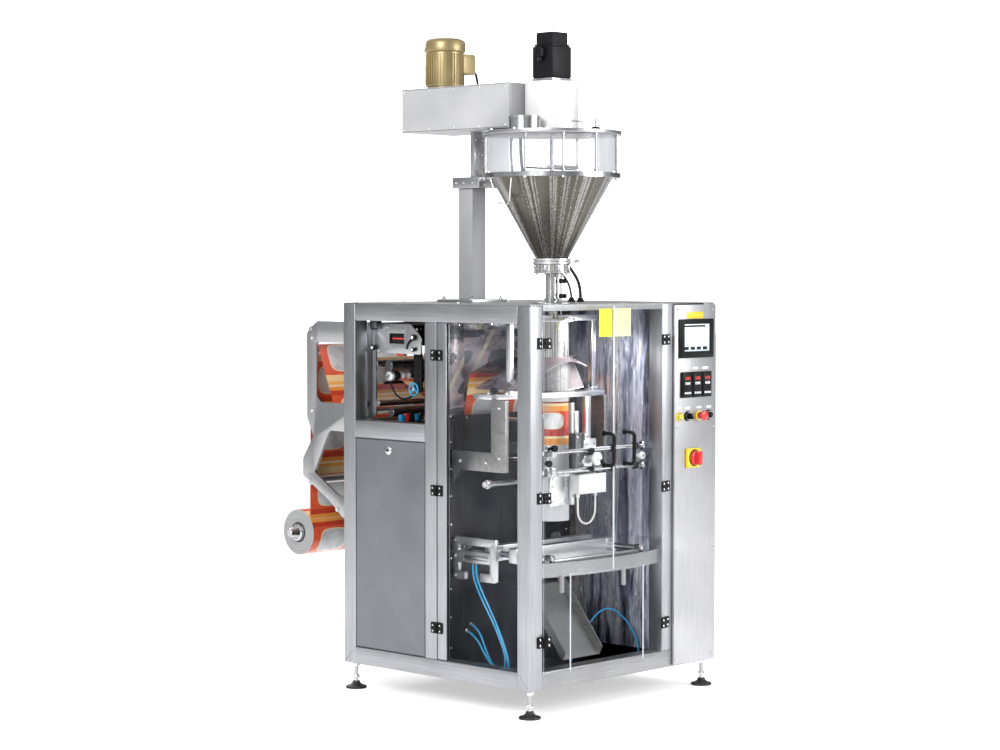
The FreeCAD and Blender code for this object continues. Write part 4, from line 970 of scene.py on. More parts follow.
def side_leaf(piece, height, side, moving):
    near, far = 491 + 5 * side, 491 + 31 * side
    piece.use(BLACK).block((-5.5, 0), (min(near, far), max(near, far)), (height - 21, height + 21), 2.2, 3)
    bands = ((height - 6.5, height + 6.5),) if moving else ((height - 20, height - 7),
                                                            (height + 7, height + 20))
    for low, high in bands:
        piece.rod("z", (-7, 491, low), 6, high - low, 1.2, 28)
        web = (min(491, 491 + 8 * side), max(491, 491 + 8 * side))
        piece.block((-6, -2), web, (low, high), 0.8)
    piece.use(BRIGHT)
    for dz in (-11, 11):
        piece.screw("x", (-5.5, 491 + 19 * side, height + dz), 4.2, 1.6, -1)


DOOR = {"left": 72, "right": 765, "back": -2, "bow": 54}
HALF = (DOOR["right"] - DOOR["left"]) / 2
MIDDLE = (DOOR["right"] + DOOR["left"]) / 2
ARC = (HALF ** 2 + DOOR["bow"] ** 2) / (2 * DOOR["bow"])


def bow(x, inset=0.0):
    """Depth of the bowed door face at x; inset moves into the sheet."""
    centre = DOOR["back"] + math.sqrt(ARC ** 2 - HALF ** 2)
    return centre - math.sqrt((ARC - inset) ** 2 - (x - MIDDLE) ** 2)


def hinges():
    fixed = Piece("hinge_fixed_leaves", "machine", BLACK, BRIGHT)
    left = Piece("left_hinge_leaves", "left_door", BLACK, BRIGHT)
    right = Piece("right_hinge_leaves", "right_door", BLACK, BRIGHT)
    for height in FRONT_HEIGHTS:
        front_leaf(fixed, 68, height, -1, 0, False)
        front_leaf(fixed, 769, height, 1, 0, False)
        front_leaf(left, 68, height, 1, bow(98), True)
        front_leaf(right, 769, height, -1, bow(735), True)
    for height in SIDE_HEIGHTS:
        side_leaf(fixed, height, 1, False)
    fixed.done(replaces="hinge_bases", slot="black_plastic")
    left.done(replaces="left_door_hinges", slot="black_plastic")
    right.done(replaces="right_door_hinges", slot="black_plastic")


hinges()


def door_sheet(name, body, low, high, notch):
    """A bowed acrylic sheet, its lower inner corner cut away, with bright polished edges."""
    door = Piece(name, body, ACRYLIC, ACRYLIC_EDGE)
    bottom, top, step = 168, 1535, 535
    inner_side = notch[1] if notch[0] < low else notch[0]
    steps = 30
    xs = sorted({low, high, inner_side} | {low + (high - low) * k / steps for k in range(1, steps)})
    part = bmesh.new()
    grid = {}
    levels = (bottom, step, top)
    for x in xs:
        for z in levels:
            for face, inset in ((0, 0.0), (1, 6.0)):
                grid[x, z, face] = part.verts.new(at(x, min(bow(x, inset), -0.4), z))
    edge_faces = []
    for a, b in zip(xs, xs[1:]):
        middle = (a + b) / 2
        open_low = notch[0] < middle < notch[1]
        for z0, z1 in ((bottom, step), (step, top)):
            if open_low and z0 == bottom:
                continue
            for face in (0, 1):
                part.faces.new((grid[a, z0, face], grid[b, z0, face], grid[b, z1, face], grid[a, z1, face]))
        floor_z = step if open_low else bottom
        for z in (floor_z, top):
            edge_faces.append(part.faces.new((grid[a, z, 0], grid[b, z, 0], grid[b, z, 1], grid[a, z, 1])))
    walls = [(low, step, top), (high, step, top)]
    solid_side = high if notch[0] < low else low
    walls += [(solid_side, bottom, step), (inner_side, bottom, step)]
    for x, z0, z1 in walls:
        edge_faces.append(part.faces.new((grid[x, z0, 0], grid[x, z1, 0], grid[x, z1, 1], grid[x, z0, 1])))
    loose = [vert for vert in part.verts if not vert.link_faces]
    bmesh.ops.delete(part, geom=loose, context="VERTS")
    bmesh.ops.recalc_face_normals(part, faces=part.faces)
    holder = bpy.data.meshes.new("holder")
    for face in part.faces:
        face.material_index = 0
    for face in edge_faces:
        face.material_index = 1
    part.to_mesh(holder)
    part.free()
    door.mesh.from_mesh(holder)
    bpy.data.meshes.remove(holder)
    return door


left_sheet = door_sheet("left_door_sheet", "left_door", 72, 406, (189, 500))
left_sheet.done(replaces="left_front_door", slot="acrylic", smooth=40)
right_sheet = door_sheet("right_door_sheet", "right_door", 408, 765, (300, 598))
right_sheet.done(replaces="right_front_door", slot="acrylic", smooth=40)


def u_handle(name, node, body, x):
    handle = Piece(name, body, BLACK)
    face = bow(x)
    low, high, out, turn = 935, 1055, -105, 16
    path = [(x, face + 0.5, low), (x, out + turn, low)]
    path += [(x, out + turn - turn * math.sin(a), low + turn - turn * math.cos(a))
             for a in [math.pi / 2 * k / 8 for k in range(1, 9)]]
    path += [(x, out + turn - turn * math.cos(a), high - turn + turn * math.sin(a))
             for a in [math.pi / 2 * k / 8 for k in range(0, 9)]]
    path += [(x, face + 0.5, high)]
    handle.sweep(path, 7, 24)
    for z in (low, high):
        handle.lathe("y", (x, face - 4, z), [(0, 0), (10, 0), (11, 1.2), (11, 4), (0, 4)], 32)
        handle.use(BRIGHT).screw("y", (x, bow(x, 6), z), 6, 3, 1).use(BLACK)
    handle.done(replaces=node, slot="black_plastic")


u_handle("left_handle_bar", "left_door_handle", "left_door", 349)
u_handle("right_handle_bar", "right_door_handle", "right_door", 466)


def door_stickers():
    """Plain stickers with no words or symbols."""
    for name, body, low, high, tone in (("left_door_sticker", "left_door", 330, 401, BRIGHT_YELLOW),
                                        ("right_door_sticker", "right_door", 412, 512, PALE_YELLOW)):
        sticker = Piece(name, body, tone)
        xs = [low + (high - low) * k / 6 for k in range(7)]
        for a, b in zip(xs, xs[1:]):
            sticker.prism("xz", [(a, 1420), (b, 1420), (b, 1526), (a, 1526)], (bow(a, 6.2) + bow(b, 6.2)) / 2,
                          0.3)
        sticker.done(slot="yellow_plastic")


door_stickers()


def side_door():
    stile = Piece("side_door_stile_bar", "side_door", STEEL_Z, BLACK, BRIGHT)
    stile.block((0, 20), (441, 489), (176, 1469), 2, 3)
    for height in SIDE_HEIGHTS:
        side_leaf(stile, height, -1, True)
    stile.use(BLACK_MATT).block((5, 13), (438, 443), (176, 1469), 1)
    stile.done(replaces="side_door_stile", slot="stainless")
    sheet = Piece("side_door_sheet", "side_door", ACRYLIC)
    sheet.block((6, 12), (71, 441), (176, 1469), 0.6)
    sheet.done(replaces="side_door_glass", slot="acrylic")


side_door()


# ---------------------------------------------------------------- control panel

def control_panel():
    plate = Piece("panel_plate", "machine", PANEL_STEEL, BRIGHT)
    plate.block((818, 1075), (-12, 0), (110, 1535), 2.5, 3)
    plate.use(BRIGHT)
    for x in (832, 1061):
        for z in (130, 560, 1050, 1516):
            plate.screw("y", (x, -12, z), 5, 2.4, -1)
    plate.done(replaces="control_panel", slot="stainless")
    sign = Piece("panel_name_strip", "machine", YELLOW)
    sign.block((890, 992), (-14, -11.8), (1479, 1506), 0.8)
    sign.done(slot="yellow_plastic")
    screen = Piece("operator_terminal", "machine", BLACK, SCREEN, BLACK_MATT)
    frame_outline = [(840, 1324), (1053, 1324), (1053, 1478), (840, 1478)]
    opening = [(866, 1350), (1027, 1350), (1027, 1458), (866, 1458)]
    screen.prism("xz", frame_outline, -19.5, 8, 2.0, (opening,))
    screen.prism("xz", [(847, 1331), (1046, 1331), (1046, 1471), (847, 1471)], -23, 4, 1.2, (opening,))
    screen.use(SCREEN).block((864, 1029), (-17, -13), (1348, 1460), 0.5)
    screen.use(BLACK_MATT).block((872, 1000), (-18, -17), (1446, 1453), 0.2)
    for x in (884, 922, 960, 998):
        screen.block((x - 13, x + 13), (-18.0, -17), (1356, 1368), 0.3)
    screen.done(replaces="operator_screen", slot="black_plastic")


control_panel()


def controllers():
    """Three tall temperature controllers, each with two lit rows and four keys."""
    bank = Piece("controller_bank", "machine", BLACK, BLACK_MATT, WHITE, RED, BRIGHT)
    for low in (854, 916, 978):
        bank.use(BLACK).block((low, low + 57), (-23.5, -12), (1168, 1269), 2.2, 3)
        bank.block((low + 4, low + 53), (-26, -22), (1172, 1265), 1.6, 2)
        bank.use(BLACK_MATT).block((low + 9, low + 48), (-26.4, -25.6), (1212, 1257), 0.6)
        bank.use(RED)
        for k in range(4):
            bank.block((low + 13 + 8 * k, low + 18 + 8 * k), (-26.8, -26.3), (1238, 1250), 0.5)
        bank.use(WHITE)
        for k in range(4):
            bank.block((low + 13 + 8 * k, low + 18 + 8 * k), (-26.8, -26.3), (1219, 1229), 0.5)
        for k in range(4):
            bank.block((low + 9 + 10.5 * k, low + 16 + 10.5 * k), (-26.9, -25.8), (1182, 1190), 0.8)
    bank.use(WHITE)
    for low in (854, 916, 978):
        bank.block((low + 10, low + 47), (-12.8, -11.9), (1278, 1288), 0.3)
    bank.done(replaces="temperature_controllers", slot="black_plastic")


controllers()


BUTTON_ROW = 1094


def operator_buttons():
    rings = Piece("button_rings", "machine", BRIGHT, YELLOW, BLACK)
    for x, ring in ((845, YELLOW), (897, BLACK), (968, YELLOW), (1030, BLACK)):
        rings.use(ring).lathe("y", (x, -18, BUTTON_ROW), [(13.6, 6), (13.6, 0.6), (16.5, 0.6), (17.6, 0),
                                                          (20, 1.8), (20, 6), (13.6, 6)], 40)
        rings.use(BRIGHT).tube("y", (x, -20, BUTTON_ROW), 16.2, 13.6, 8, 40)
    rings.use(WHITE)
    for x in (845, 897, 968, 1030):
        rings.block((x - 15, x + 15), (-12.9, -11.9), (1122, 1131), 0.3)
    rings.use(YELLOW).block((886, 964), (-26, -12), (889, 966), 2.6, 3)
    rings.use(BRIGHT)
    for x in (893, 957):
        for z in (896, 959):
            rings.screw("y", (x, -26, z), 3.2, 1.4, -1)
    rings.use(BLACK).tube("y", (925, -27.0, 928), 33, 29.2, 1.4, 56)
    for x, z in ((925, 958), (955, 928)):
        rings.block((x - 3, x + 3), (-26.8, -25.9), (z - 3, z + 3), 0.4)
    rings.done(replaces="switch_plates", slot="yellow_plastic")


operator_buttons()


def button_cap(name, node, body, x, radius, depth, material, slot_name):
    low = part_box(node)[0]
    front = (low.y - FRONT / 1000) * 1000
    cap = Piece(name, body, material)
    cap.lathe("y", (x, front, BUTTON_ROW), [(0, 0), (radius - 2.6, 0), (radius - 0.8, 0.8), (radius, 2.4),
                                      (radius, depth), (0, depth)], 40)
    cap.done(replaces=node, slot=slot_name)


button_cap("button_cap_left", "push_button_left", "button_left", 845, 11.4, 14, YELLOW, "yellow_plastic")
button_cap("button_cap_right", "push_button_right", "button_right", 1030, 11.4, 14, BLACK, "black_plastic")


def emergency_stop():
    low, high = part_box("estop_button")
    front = low.y * 1000 - FRONT
    head = Piece("estop_head", "estop", RED)
    head.lathe("y", (968, front, BUTTON_ROW), [(0, 0), (14, 0.3), (18.6, 2.2), (20, 5.5), (19.4, 9.6),
                                               (16, 12), (10.4, 13),
                                         (10.4, 14), (10, high.y * 1000 - FRONT - front),
                                               (0, high.y * 1000 - FRONT - front)], 56)
    for angle in range(0, 360, 120):
        c, s = turned(angle)
        head.block(sorted((968 + 9 * c - 2.2, 968 + 9 * c + 2.2)), (front, front + 1.2),
                   sorted((BUTTON_ROW + 9 * s - 2.2, BUTTON_ROW + 9 * s + 2.2)), 0.6)
    head.done(replaces="estop_button", slot="red_plastic")


emergency_stop()


def selector():
    low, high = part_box("selector_knob")
    front, back = low.y * 1000 - FRONT, high.y * 1000 - FRONT
    knob = Piece("selector_lever", "selector", BLACK, WHITE)
    knob.lathe("y", (897, back - 8, BUTTON_ROW), [(0, 0), (11.5, 0), (13, 1.6), (13, 8), (0, 8)], 40)
    knob.block((892.5, 901.5), (front + 0.2, back - 6), (1082, 1106), 2.0, 3)
    knob.use(WHITE).block((896, 898), (front, front + 0.8), (1096, 1104), 0.3)
    knob.done(replaces="selector_knob", slot="black_plastic")


selector()


def main_switch():
    knob = Piece("main_switch_lever", "main_switch", RED)
    knob.lathe("y", (925, -40, 928), [(0, 0), (24, 0), (27, 1.6), (28, 5), (28, 12.6), (26, 13.5), (0, 13.5)],
               64)
    knob.block((916, 934), (-62, -38), (901, 955), 4.5, 4)
    for angle in range(15, 360, 30):
        c, s = turned(angle)
        knob.rod("y", (925 + 26.2 * c, -38.6, 928 + 26.2 * s), 1.9, 10, 0.5, 10)
    knob.done(replaces="main_switch_knob", slot="red_plastic")


main_switch()


# ---------------------------------------------------------------- feet

def feet():
    stand = Piece("screw_feet", "machine", BLACK_MATT, TURNED, BRIGHT)
    for x in (34, 1046):
        for y in (34, 986):
            stand.use(RUBBER).lathe("z", (x, y, 0), [(0, 0), (40, 0), (42, 1.5), (42, 6), (40.5, 8.4),
                                                     (27, 12), (17, 19),
                                                     (14, 28), (0, 28)], 56)
            stand.use(TURNED).rod("z", (x, y, 26), 8, 79, 0.4, 28)
            for k in range(18):
                stand.lathe("z", (x, y, 54 + 2.0 * k), [(7.4, 0), (8.5, 0.6), (7.4, 1.2)], 28)
            stand.use(BRIGHT).hexagon("z", (x, y, 40), 14, 12).hexagon("z", (x, y, 89), 15, 16)
    stand.done(replaces="levelling_feet", slot="black_plastic")


feet()


# ---------------------------------------------------------------- film rack

PLATE = [(1020, 1462), (1345, 1462), (1408, 1415), (1408, 1063), (1370, 986), (1435, 890), (1435, 818),
         (1270, 722),
         (1190, 658), (1020, 658)]
HIGH_WINDOW = [(1100, 1375), (1349, 1375), (1349, 1150), (1325, 1127), (1100, 1127)]
LOW_WINDOW = [(1100, 1010), (1270, 1013), (1365, 837), (1217, 747), (1100, 747)]
ARM = [(1435, 890), (1435, 818), (1540, 600), (1535, 535), (1460, 525), (1270, 722), (1190, 800)]


def film_rack():
    rack = Piece("rack_side_plates", "machine", STEEL_SHEET, BRIGHT, TURNED)
    windows = (soft_corners(HIGH_WINDOW, 12), soft_corners(LOW_WINDOW, 12))
    for low in (150, 660):
        rack.use(STEEL_SHEET).prism("yz", soft_corners(PLATE), low, 10, 0.8, windows)
    rack.prism("yz", soft_corners(ARM), 670, 16, 1.2)
    rack.use(TURNED)
    for y, z, radius in ((1060, 1440, 12), (1060, 690, 12), (1385, 1430, 12), (1225, 690, 12),
                         (1395, 800, 20), (1060, 1302, 14)):
        rack.rod("x", (159, y, z), radius, 502, 1)
        rack.use(BRIGHT).hexagon("x", (146.5, y, z), 9, 4).screw("x", (670, y, z), 8, 4).use(TURNED)
    rack.rod("x", on_roll(120), 16, 560, 1.5)
    rack.use(STEEL_SHEET).rod("x", on_roll(686), 45, 10, 1.5, 48)
    rack.use(BRIGHT)
    for y, z in ((1040, 1410), (1040, 1080), (1040, 860), (1040, 700), (1378, 1390), (1378, 1090)):
        rack.screw("x", (150, y, z), 6, 4, -1)
    for y, z in ((1250, 760), (1450, 830), (1500, 640)):
        rack.screw("x", (686, y, z), 7, 5)
    rack.use(STEEL_X)
    for z in (880, 1050, 1440):
        rack.block((160, 660), (1024, 1030), (z - 20, z + 20), 1)
    rack.done(replaces="film_rack", slot="stainless")


film_rack()


def film_roll():
    """The spool: printed wrap, wound grey edges, chuck flanges and a stepped nose on the spindle."""
    spool = Piece("film_spool", "roll", ROLL_EDGE, FILM, BLACK, TURNED, BRIGHT)
    spool.lathe("x", on_roll(172), [(40, 0), (94.4, 0), (95, 0.8), (95, 1.2)], 96)
    spool.lathe("x", on_roll(172), [(95, 468.8), (95, 469.2), (94.4, 470), (40, 470)], 96)
    spool.use(BLACK).lathe("x", on_roll(172), [(16.6, 4), (40, 4), (41, 0), (43, 0), (43, 470), (41, 470),
                                               (40, 466), (16.6, 466)], 64)
    spool.use(TURNED)
    for x, sign in ((172, -1), (642, 1)):
        spool.lathe("x", on_roll(x), [(16.8, -6 * sign), (16.8, 14 * sign), (30, 14 * sign), (37, 9 * sign),
                                      (38, 0),
                                          (38, -6 * sign), (16.8, -6 * sign)], 56)
    wrap = 96
    part = spool.mesh
    spool.use(FILM)
    rings = []
    for x in (173.2, 640.8):
        rings.append([part.verts.new(at(x, ROLL_Y + 95 * math.cos(2 * math.pi * k / wrap),
                                        ROLL_Z + 95 * math.sin(2 * math.pi * k / wrap)))
                      for k in range(wrap)])
    for k in range(wrap):
        face = part.faces.new((rings[0][k], rings[0][(k + 1) % wrap], rings[1][(k + 1) % wrap], rings[1][k]))
        face.material_index = spool.index
        for loop, (u, v) in zip(face.loops, ((0, k), (0, k + 1), (1, k + 1), (1, k))):
            loop[spool.uv].uv = (u, 0.597 * v / wrap)
    spool.use(TURNED).lathe("x", on_roll(120.4), [(16.5, 51), (33, 51), (35, 48), (35, 40), (28, 36),
                                                  (22, 20), (19, 6), (16.8, 0.4), (16.3, 0.4)], 56)
    spool.use(BLACK).lathe("x", on_roll(120.4), [(35.2, 47), (36.5, 46), (36.5, 42), (35.2, 41)], 56)
    spool.done(replaces="film_roll", slot="film")


film_roll()


def rollers():
    roller = Piece("top_roller_sleeve", "idler", ALUMINIUM, BLACK, BRIGHT)
    roller.lathe("x", (162, 1382, 1340), [(0, 0), (9, 0), (9, 3), (19, 3), (22, 5), (22, 491), (19, 493),
                                          (9, 493), (9, 496), (0, 496)], 56)
    roller.use(BRIGHT)
    for x, sign in ((165, -1), (655, 1)):
        roller.screw("x", (x, 1382, 1340), 7, 2, sign)
    roller.done(replaces="top_roller", slot="aluminium")
    arm = Piece("dancer_frame", "dancer", ALUMINIUM, TURNED, BRIGHT)
    for x in (162, 652):
        outline = soft_corners([(1085, 1090), (1255, 1090), (1255, 1110), (1085, 1110)], 9)
        arm.use(ALUMINIUM).prism("yz", outline, x, 6, 0.8)
    arm.use(TURNED).rod("x", (166, 1095, 1100), 11, 488, 0.5)
    arm.lathe("x", (168.2, 1240, 1100), [(0, 0), (8, 0), (8, 2), (17, 2), (18, 3.2), (18, 480.6), (17, 482),
                                         (8, 482), (8, 483.6), (0, 483.6)], 56)
    arm.use(BRIGHT)
    for x, sign in ((162, -1), (658, 1)):
        for y in (1095, 1240):
            arm.screw("x", (x, y, 1100), 6, 0.1, sign)
    arm.done(replaces="dancer_arm", slot="aluminium")


rollers()


WEB = ([(1415.8, 636), (1415.8, 805)] + arc((1382, 1340), 23.6, 0, 158, 10)
       + arc((1240, 1100), 19.6, -22, -146, 8)
       + arc((1060, 1302), 16, 34, 114.5, 6) + arc((535, 1098), 16.5, -65.5, -168, 8)
       + [(482, 1272), (430, 1294), (352, 1335)])


def printed_web():
    """The film from the spool over the rollers to the forming collar, then a sleeve round the tube."""
    web = Piece("film_run", "machine", FILM, FILM_BACK, SLEEVE)
    part = web.mesh
    path = [Vector(WEB[0])]
    for before, corner, after in zip(WEB, WEB[1:], WEB[2:]):
        b, c, a = Vector(before), Vector(corner), Vector(after)
        reach = min(14, (b - c).length * 0.4, (a - c).length * 0.4)
        for step in (0, 0.33, 0.67, 1):
            first = (c + (b - c).normalized() * reach).lerp(c, step)
            path.append(first.lerp(c.lerp(c + (a - c).normalized() * reach, step), step))
    path.append(Vector(WEB[-1]))
    run = 0.0
    rows = []
    columns = 12
    for k, spot in enumerate(path):
        run += (spot - path[k - 1]).length / 1000 if k else 0
        rows.append((run, [part.verts.new(at(172 + 470 * c / columns, spot.x, spot.y))
                           for c in range(columns + 1)]))
    for k, ((v0, low), (v1, high)) in enumerate(zip(rows, rows[1:])):
        web.use(FILM_BACK if path[k].x < 478 else FILM)
        for c in range(columns):
            face = part.faces.new((low[c], low[c + 1], high[c + 1], high[c]))
            face.material_index = web.index
            for loop, uv in zip(face.loops, ((c, v0), (c + 1, v0), (c + 1, v1), (c, v1))):
                loop[web.uv].uv = (uv[0] / columns, uv[1])
    web.use(SLEEVE)
    sides = 72
    levels = [700 + 512 * k / 16 for k in range(17)]
    rings = [[part.verts.new(at(AXIS_X + 69 * math.cos(2 * math.pi * s / sides),
                                AXIS_Y + 69 * math.sin(2 * math.pi * s / sides), z))
              for s in range(sides)] for z in levels]
    for k, (low, high) in enumerate(zip(rings, rings[1:])):
        for s in range(sides):
            face = part.faces.new((low[s], low[(s + 1) % sides], high[(s + 1) % sides], high[s]))
            face.material_index = web.index
            for loop, (u, v) in zip(face.loops, ((s, k), (s + 1, k), (s + 1, k + 1), (s, k + 1))):
                loop[web.uv].uv = (0.5 + u / sides, (1212 - levels[v]) / 1000 + 0.05)
    web.done(replaces="film_web", slot="film", smooth=60)


printed_web()


# ---------------------------------------------------------------- date coder

def date_coder():
    """The coder's side plate and arm, with the rollers, clamps, cables and hand wheel behind it."""
    coder = Piece("coder_frame", "machine", STEEL_SHEET, BLACK, BRIGHT, TURNED, DARK_STEEL, WHITE, BLUE, RED)
    outline = [(998, 1460), (729, 1460), (671, 1411), (671, 1341), (927, 1344), (927, 1100), (945, 1082),
               (980, 1082),
               (998, 1100)]
    window = [(765, 1381), (849, 1381), (849, 1422), (765, 1422)]
    coder.prism("yz", soft_corners(outline, 6), 90, 8, 0.8, (window,))
    coder.use(STEEL_Z).prism("yz", soft_corners([(932, 1450), (995, 1450), (995, 1092), (975, 1080),
                                                 (950, 1080),
                                                 (932, 1092)], 9), 86, 4, 1.0)
    coder.use(BLACK).block((99, 120), (762, 852), (1378, 1425), 1)
    coder.use(RED).block((98.4, 99.2), (775, 840), (1398, 1404), 0.2)
    slot = arc((700, 1352), 56, 88, 10, 10) + arc((700, 1352), 44, 10, 88, 10)
    coder.use(BLACK).prism("yz", slot, 89.2, 1.2)
    for y, z, radius in ((933, 1446, 11), (933, 1363, 11), (704, 1408, 12), (704, 1360, 9), (987, 1132, 13)):
        coder.use(BLACK).lathe("x", (74, y, z), [(0, 0), (radius - 2, 0), (radius, 2), (radius, 9),
                                                 (radius - 3, 12), (0, 12)], 32)
        coder.use(WHITE).lathe("x", (73.4, y, z), [(0, 0), (radius * 0.55, 0), (radius * 0.55, 0.8),
                                                   (0, 0.8)], 24)
    coder.use(BRIGHT)
    for y, z in ((772, 1436), (912, 1350), (860, 1446), (690, 1440)):
        coder.screw("x", (90, y, z), 4.5, 4, -1)
    coder.use(TURNED).rod("x", (97.5, 925, 1140), 12, 500, 0.8, 36)
    coder.rod("x", (97.5, 940, 1297), 15, 500, 0.8, 36)
    coder.use(DARK_STEEL).rod("x", (110, 876, 1290), 22, 330, 1.5, 40)
    coder.rod("x", (110, 862, 1104), 17, 480, 1.5, 40)
    coder.use(ALUMINIUM).block((98, 700), (870, 930), (1395, 1455), 1.5)
    coder.use(DARK_STEEL).block((68, 98), (900, 940), (1440, 1472), 1.5)
    coder.block((90, 610), (800, 950), (1066, 1071), 1)
    coder.use(BLACK).block((200, 320), (800, 870), (1370, 1450), 3, 3)
    coder.block((110, 600), (893, 905), (1217, 1229), 1.5)
    for k in range(7):
        x = 132 + 30 * k
        coder.use(WHITE if k in (0, 2, 3, 5) else BLACK).lathe("x", (x, 895, 1249),
                                                               [(7, 0), (17, 0), (19, 2), (19, 14),
                                                                                      (17, 16), (7, 16)], 32)
        coder.use(BRIGHT).screw("z", (x + 8, 895, 1268), 4, 5)
    coder.use(TURNED).rod("x", (112, 895, 1249), 7, 250, 0.6, 24)
    coder.use(BLACK).prism("yz", soft_corners([(700, 1190), (745, 1190), (745, 1345), (700, 1345)], 6), 122,
                           8, 0.8)
    coder.use(TURNED).rod("x", (96, 722, 1203), 6, 60, 0.6, 20)
    wheel = [(722 + 24 * math.cos(math.radians(a)), 1203 + 24 * math.sin(math.radians(a)))
             for a in range(0, 361, 15)]
    coder.use(BLUE).sweep([(100, y, z) for y, z in wheel], 3.4, 12)
    coder.lathe("x", (97, 722, 1203), [(0, 0), (7, 0), (9, 2), (9, 7), (0, 7)], 24)
    for angle in (90, 210, 330):
        c, a = turned(angle)
        coder.sweep([(100, 722 + 6 * c, 1203 + 6 * a), (100, 722 + 23 * c, 1203 + 23 * a)], 2.6, 8)
    for k in range(5):
        coder.use((BLUE, RED, BLACK, BLUE, DARK_STEEL)[k])
        coder.block((120 + 26 * k, 140 + 26 * k), (812, 830), (1071, 1098 + 3 * (k % 3)), 2)
    coder.use(BRIGHT)
    for x in (110, 240, 370, 500):
        coder.screw("z", (x, 812, 1071), 5, 4).screw("z", (x, 936, 1071), 5, 4)
    for x in (215, 305):
        coder.screw("y", (x, 800, 1382), 4, 3, -1).screw("y", (x, 800, 1438), 4, 3, -1)
    coder.use(BLACK).sweep(bend([(120, 880, 1230), (118, 860, 1200), (116, 830, 1168), (122, 790, 1160),
                                 (150, 760, 1180),
                                 (170, 740, 1230), (180, 735, 1290)], 22), 4, 10)
    coder.sweep(bend([(140, 700, 1345), (138, 690, 1310), (130, 712, 1270), (126, 750, 1262),
                      (130, 790, 1300)], 20), 3, 10)
    coder.done(replaces="date_coder", slot="aluminium")


date_coder()


# ---------------------------------------------------------------- forming set

BRACKET = [(489, 978), (276, 978), (276, 1180), (200, 1180), (200, 905), (430, 905), (489, 850)]


def forming_frame():
    stand = Piece("forming_stand", "machine", ALUMINIUM, BRIGHT, BLACK, BRACKET_STEEL, PALE_STEEL)
    stand.use(BRACKET_STEEL)
    for low in (75, 640):
        stand.prism("yz", soft_corners(BRACKET, 6), low, 20, 1.2)
    stand.use(BRIGHT).rod("x", (95, 330, 941), 9, 210, 1, 32).rod("x", (95, 330, 852), 12, 190, 1, 32)
    stand.lathe("x", (110, 330, 852), [(12, 0), (17, 0), (18, 1.5), (18, 14), (17, 16), (12, 16)], 32)
    stand.use(PALE_STEEL)
    plate = [(75, 370), (75, 275)]
    for k in range(1, 24):
        x = 75 + (660 - 75) * k / 24
        t = (x - 75) / 585
        plate.append((x, 275 + (215 - 275) * t - 60 * 4 * t * (1 - t)))
    plate += [(660, 215), (660, 370)]
    stand.prism("xy", plate, 1180, 20, 1.5)
    for low in (162, 632):
        stand.use(PALE_STEEL).block((low - 1, low + 21), (257, 279), (1200, 1475), 2, 3)
        stand.block((low - 6, low + 26), (252, 284), (1200, 1212), 2)
        stand.use(BRIGHT).screw("z", (low + 10, 268, 1497), 7, 4)
        for x in (low - 16, low + 36):
            stand.rod("z", (x, 262, 1200), 4, 20, 0.8, 20).hexagon("z", (x, 262, 1200), 8, 7)
    stand.use(PALE_STEEL).block((162, 652), (250, 286), (1473, 1497), 2.5, 3)
    ear = arc((AXIS_X, AXIS_Y), 90, 0, 360, 48)[:-1]
    stand.use(ALUMINIUM).prism("xy", ear, 1473, 8, 0.8, (arc((AXIS_X, AXIS_Y), 70, 0, 360, 48)[:-1],))
    stand.use(BRIGHT)
    for x in (120, 240, 560, 620):
        stand.hexagon("z", (x, 330, 1200), 8, 6)
    for y, z in ((300, 940), (440, 940), (230, 1150), (230, 960)):
        stand.screw("x", (75, y, z), 7, 5, -1)
    stand.use(BLACK)
    for x in (110, 610):
        stand.lathe("z", (x, 290, 1200), [(0, 0), (8, 0), (8, 4), (15, 6), (17, 12), (16, 22), (12, 25),
                                          (0, 25)], 32)
    stand.done(replaces="forming_frame", slot="aluminium")


forming_frame()
paint("forming_collar", COLLAR_FILM)


def shoulder_wing():
    """The film's right edge, folded down over the collar beside the forming tube."""
    wing = Piece("shoulder_wing", "machine", WING_FILM, ALUMINIUM)
    rows = []
    for k in range(7):
        t = k / 6
        top, low = (452 - 34 * t, 218 - 20 * t, 1334 - 126 * t), (472 + 22 * t, 214 - 34 * t, 1318 - 100 * t)
        rows.append([wing.mesh.verts.new(at(*(a + (b - a) * j / 4 for a, b in zip(top, low))))
                     for j in range(5)])
    for first, second in zip(rows, rows[1:]):
        for j in range(4):
            wing.mesh.faces.new((first[j], first[j + 1], second[j + 1], second[j]))
    wing.use(ALUMINIUM).sweep([(472, 214, 1318), (494, 180, 1218)], 1.6, 12)
    wing.sweep([(494, 180, 1217), (418, 198, 1207)], 1.4, 12)
    wing.done(slot="film", smooth=60)


shoulder_wing()


def forming_tube():
    tube = Piece("forming_tube_wall", "machine", TUBE_STEEL_PAINTED_REFLECTIONS, TURNED, BRIGHT)
    tube.lathe("z", on_axis(759), [(66, 0), (68, 0), (68, 726), (66, 726), (66, 0)], 96)
    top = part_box("forming_tube")[1].z * 1000
    tube.use(TURNED).lathe("z", on_axis(top - 6), [(66, 0), (92, 0), (92, 6), (66, 6), (66, 0)], 96)
    for angle in range(45, 360, 90):
        tube.use(BRIGHT).screw("z", (AXIS_X + 82 * math.cos(math.radians(angle)),
                                     AXIS_Y + 82 * math.sin(math.radians(angle)), top - 4), 5, 3.9)
    tube.done(replaces="forming_tube", slot="bright_steel")


forming_tube()


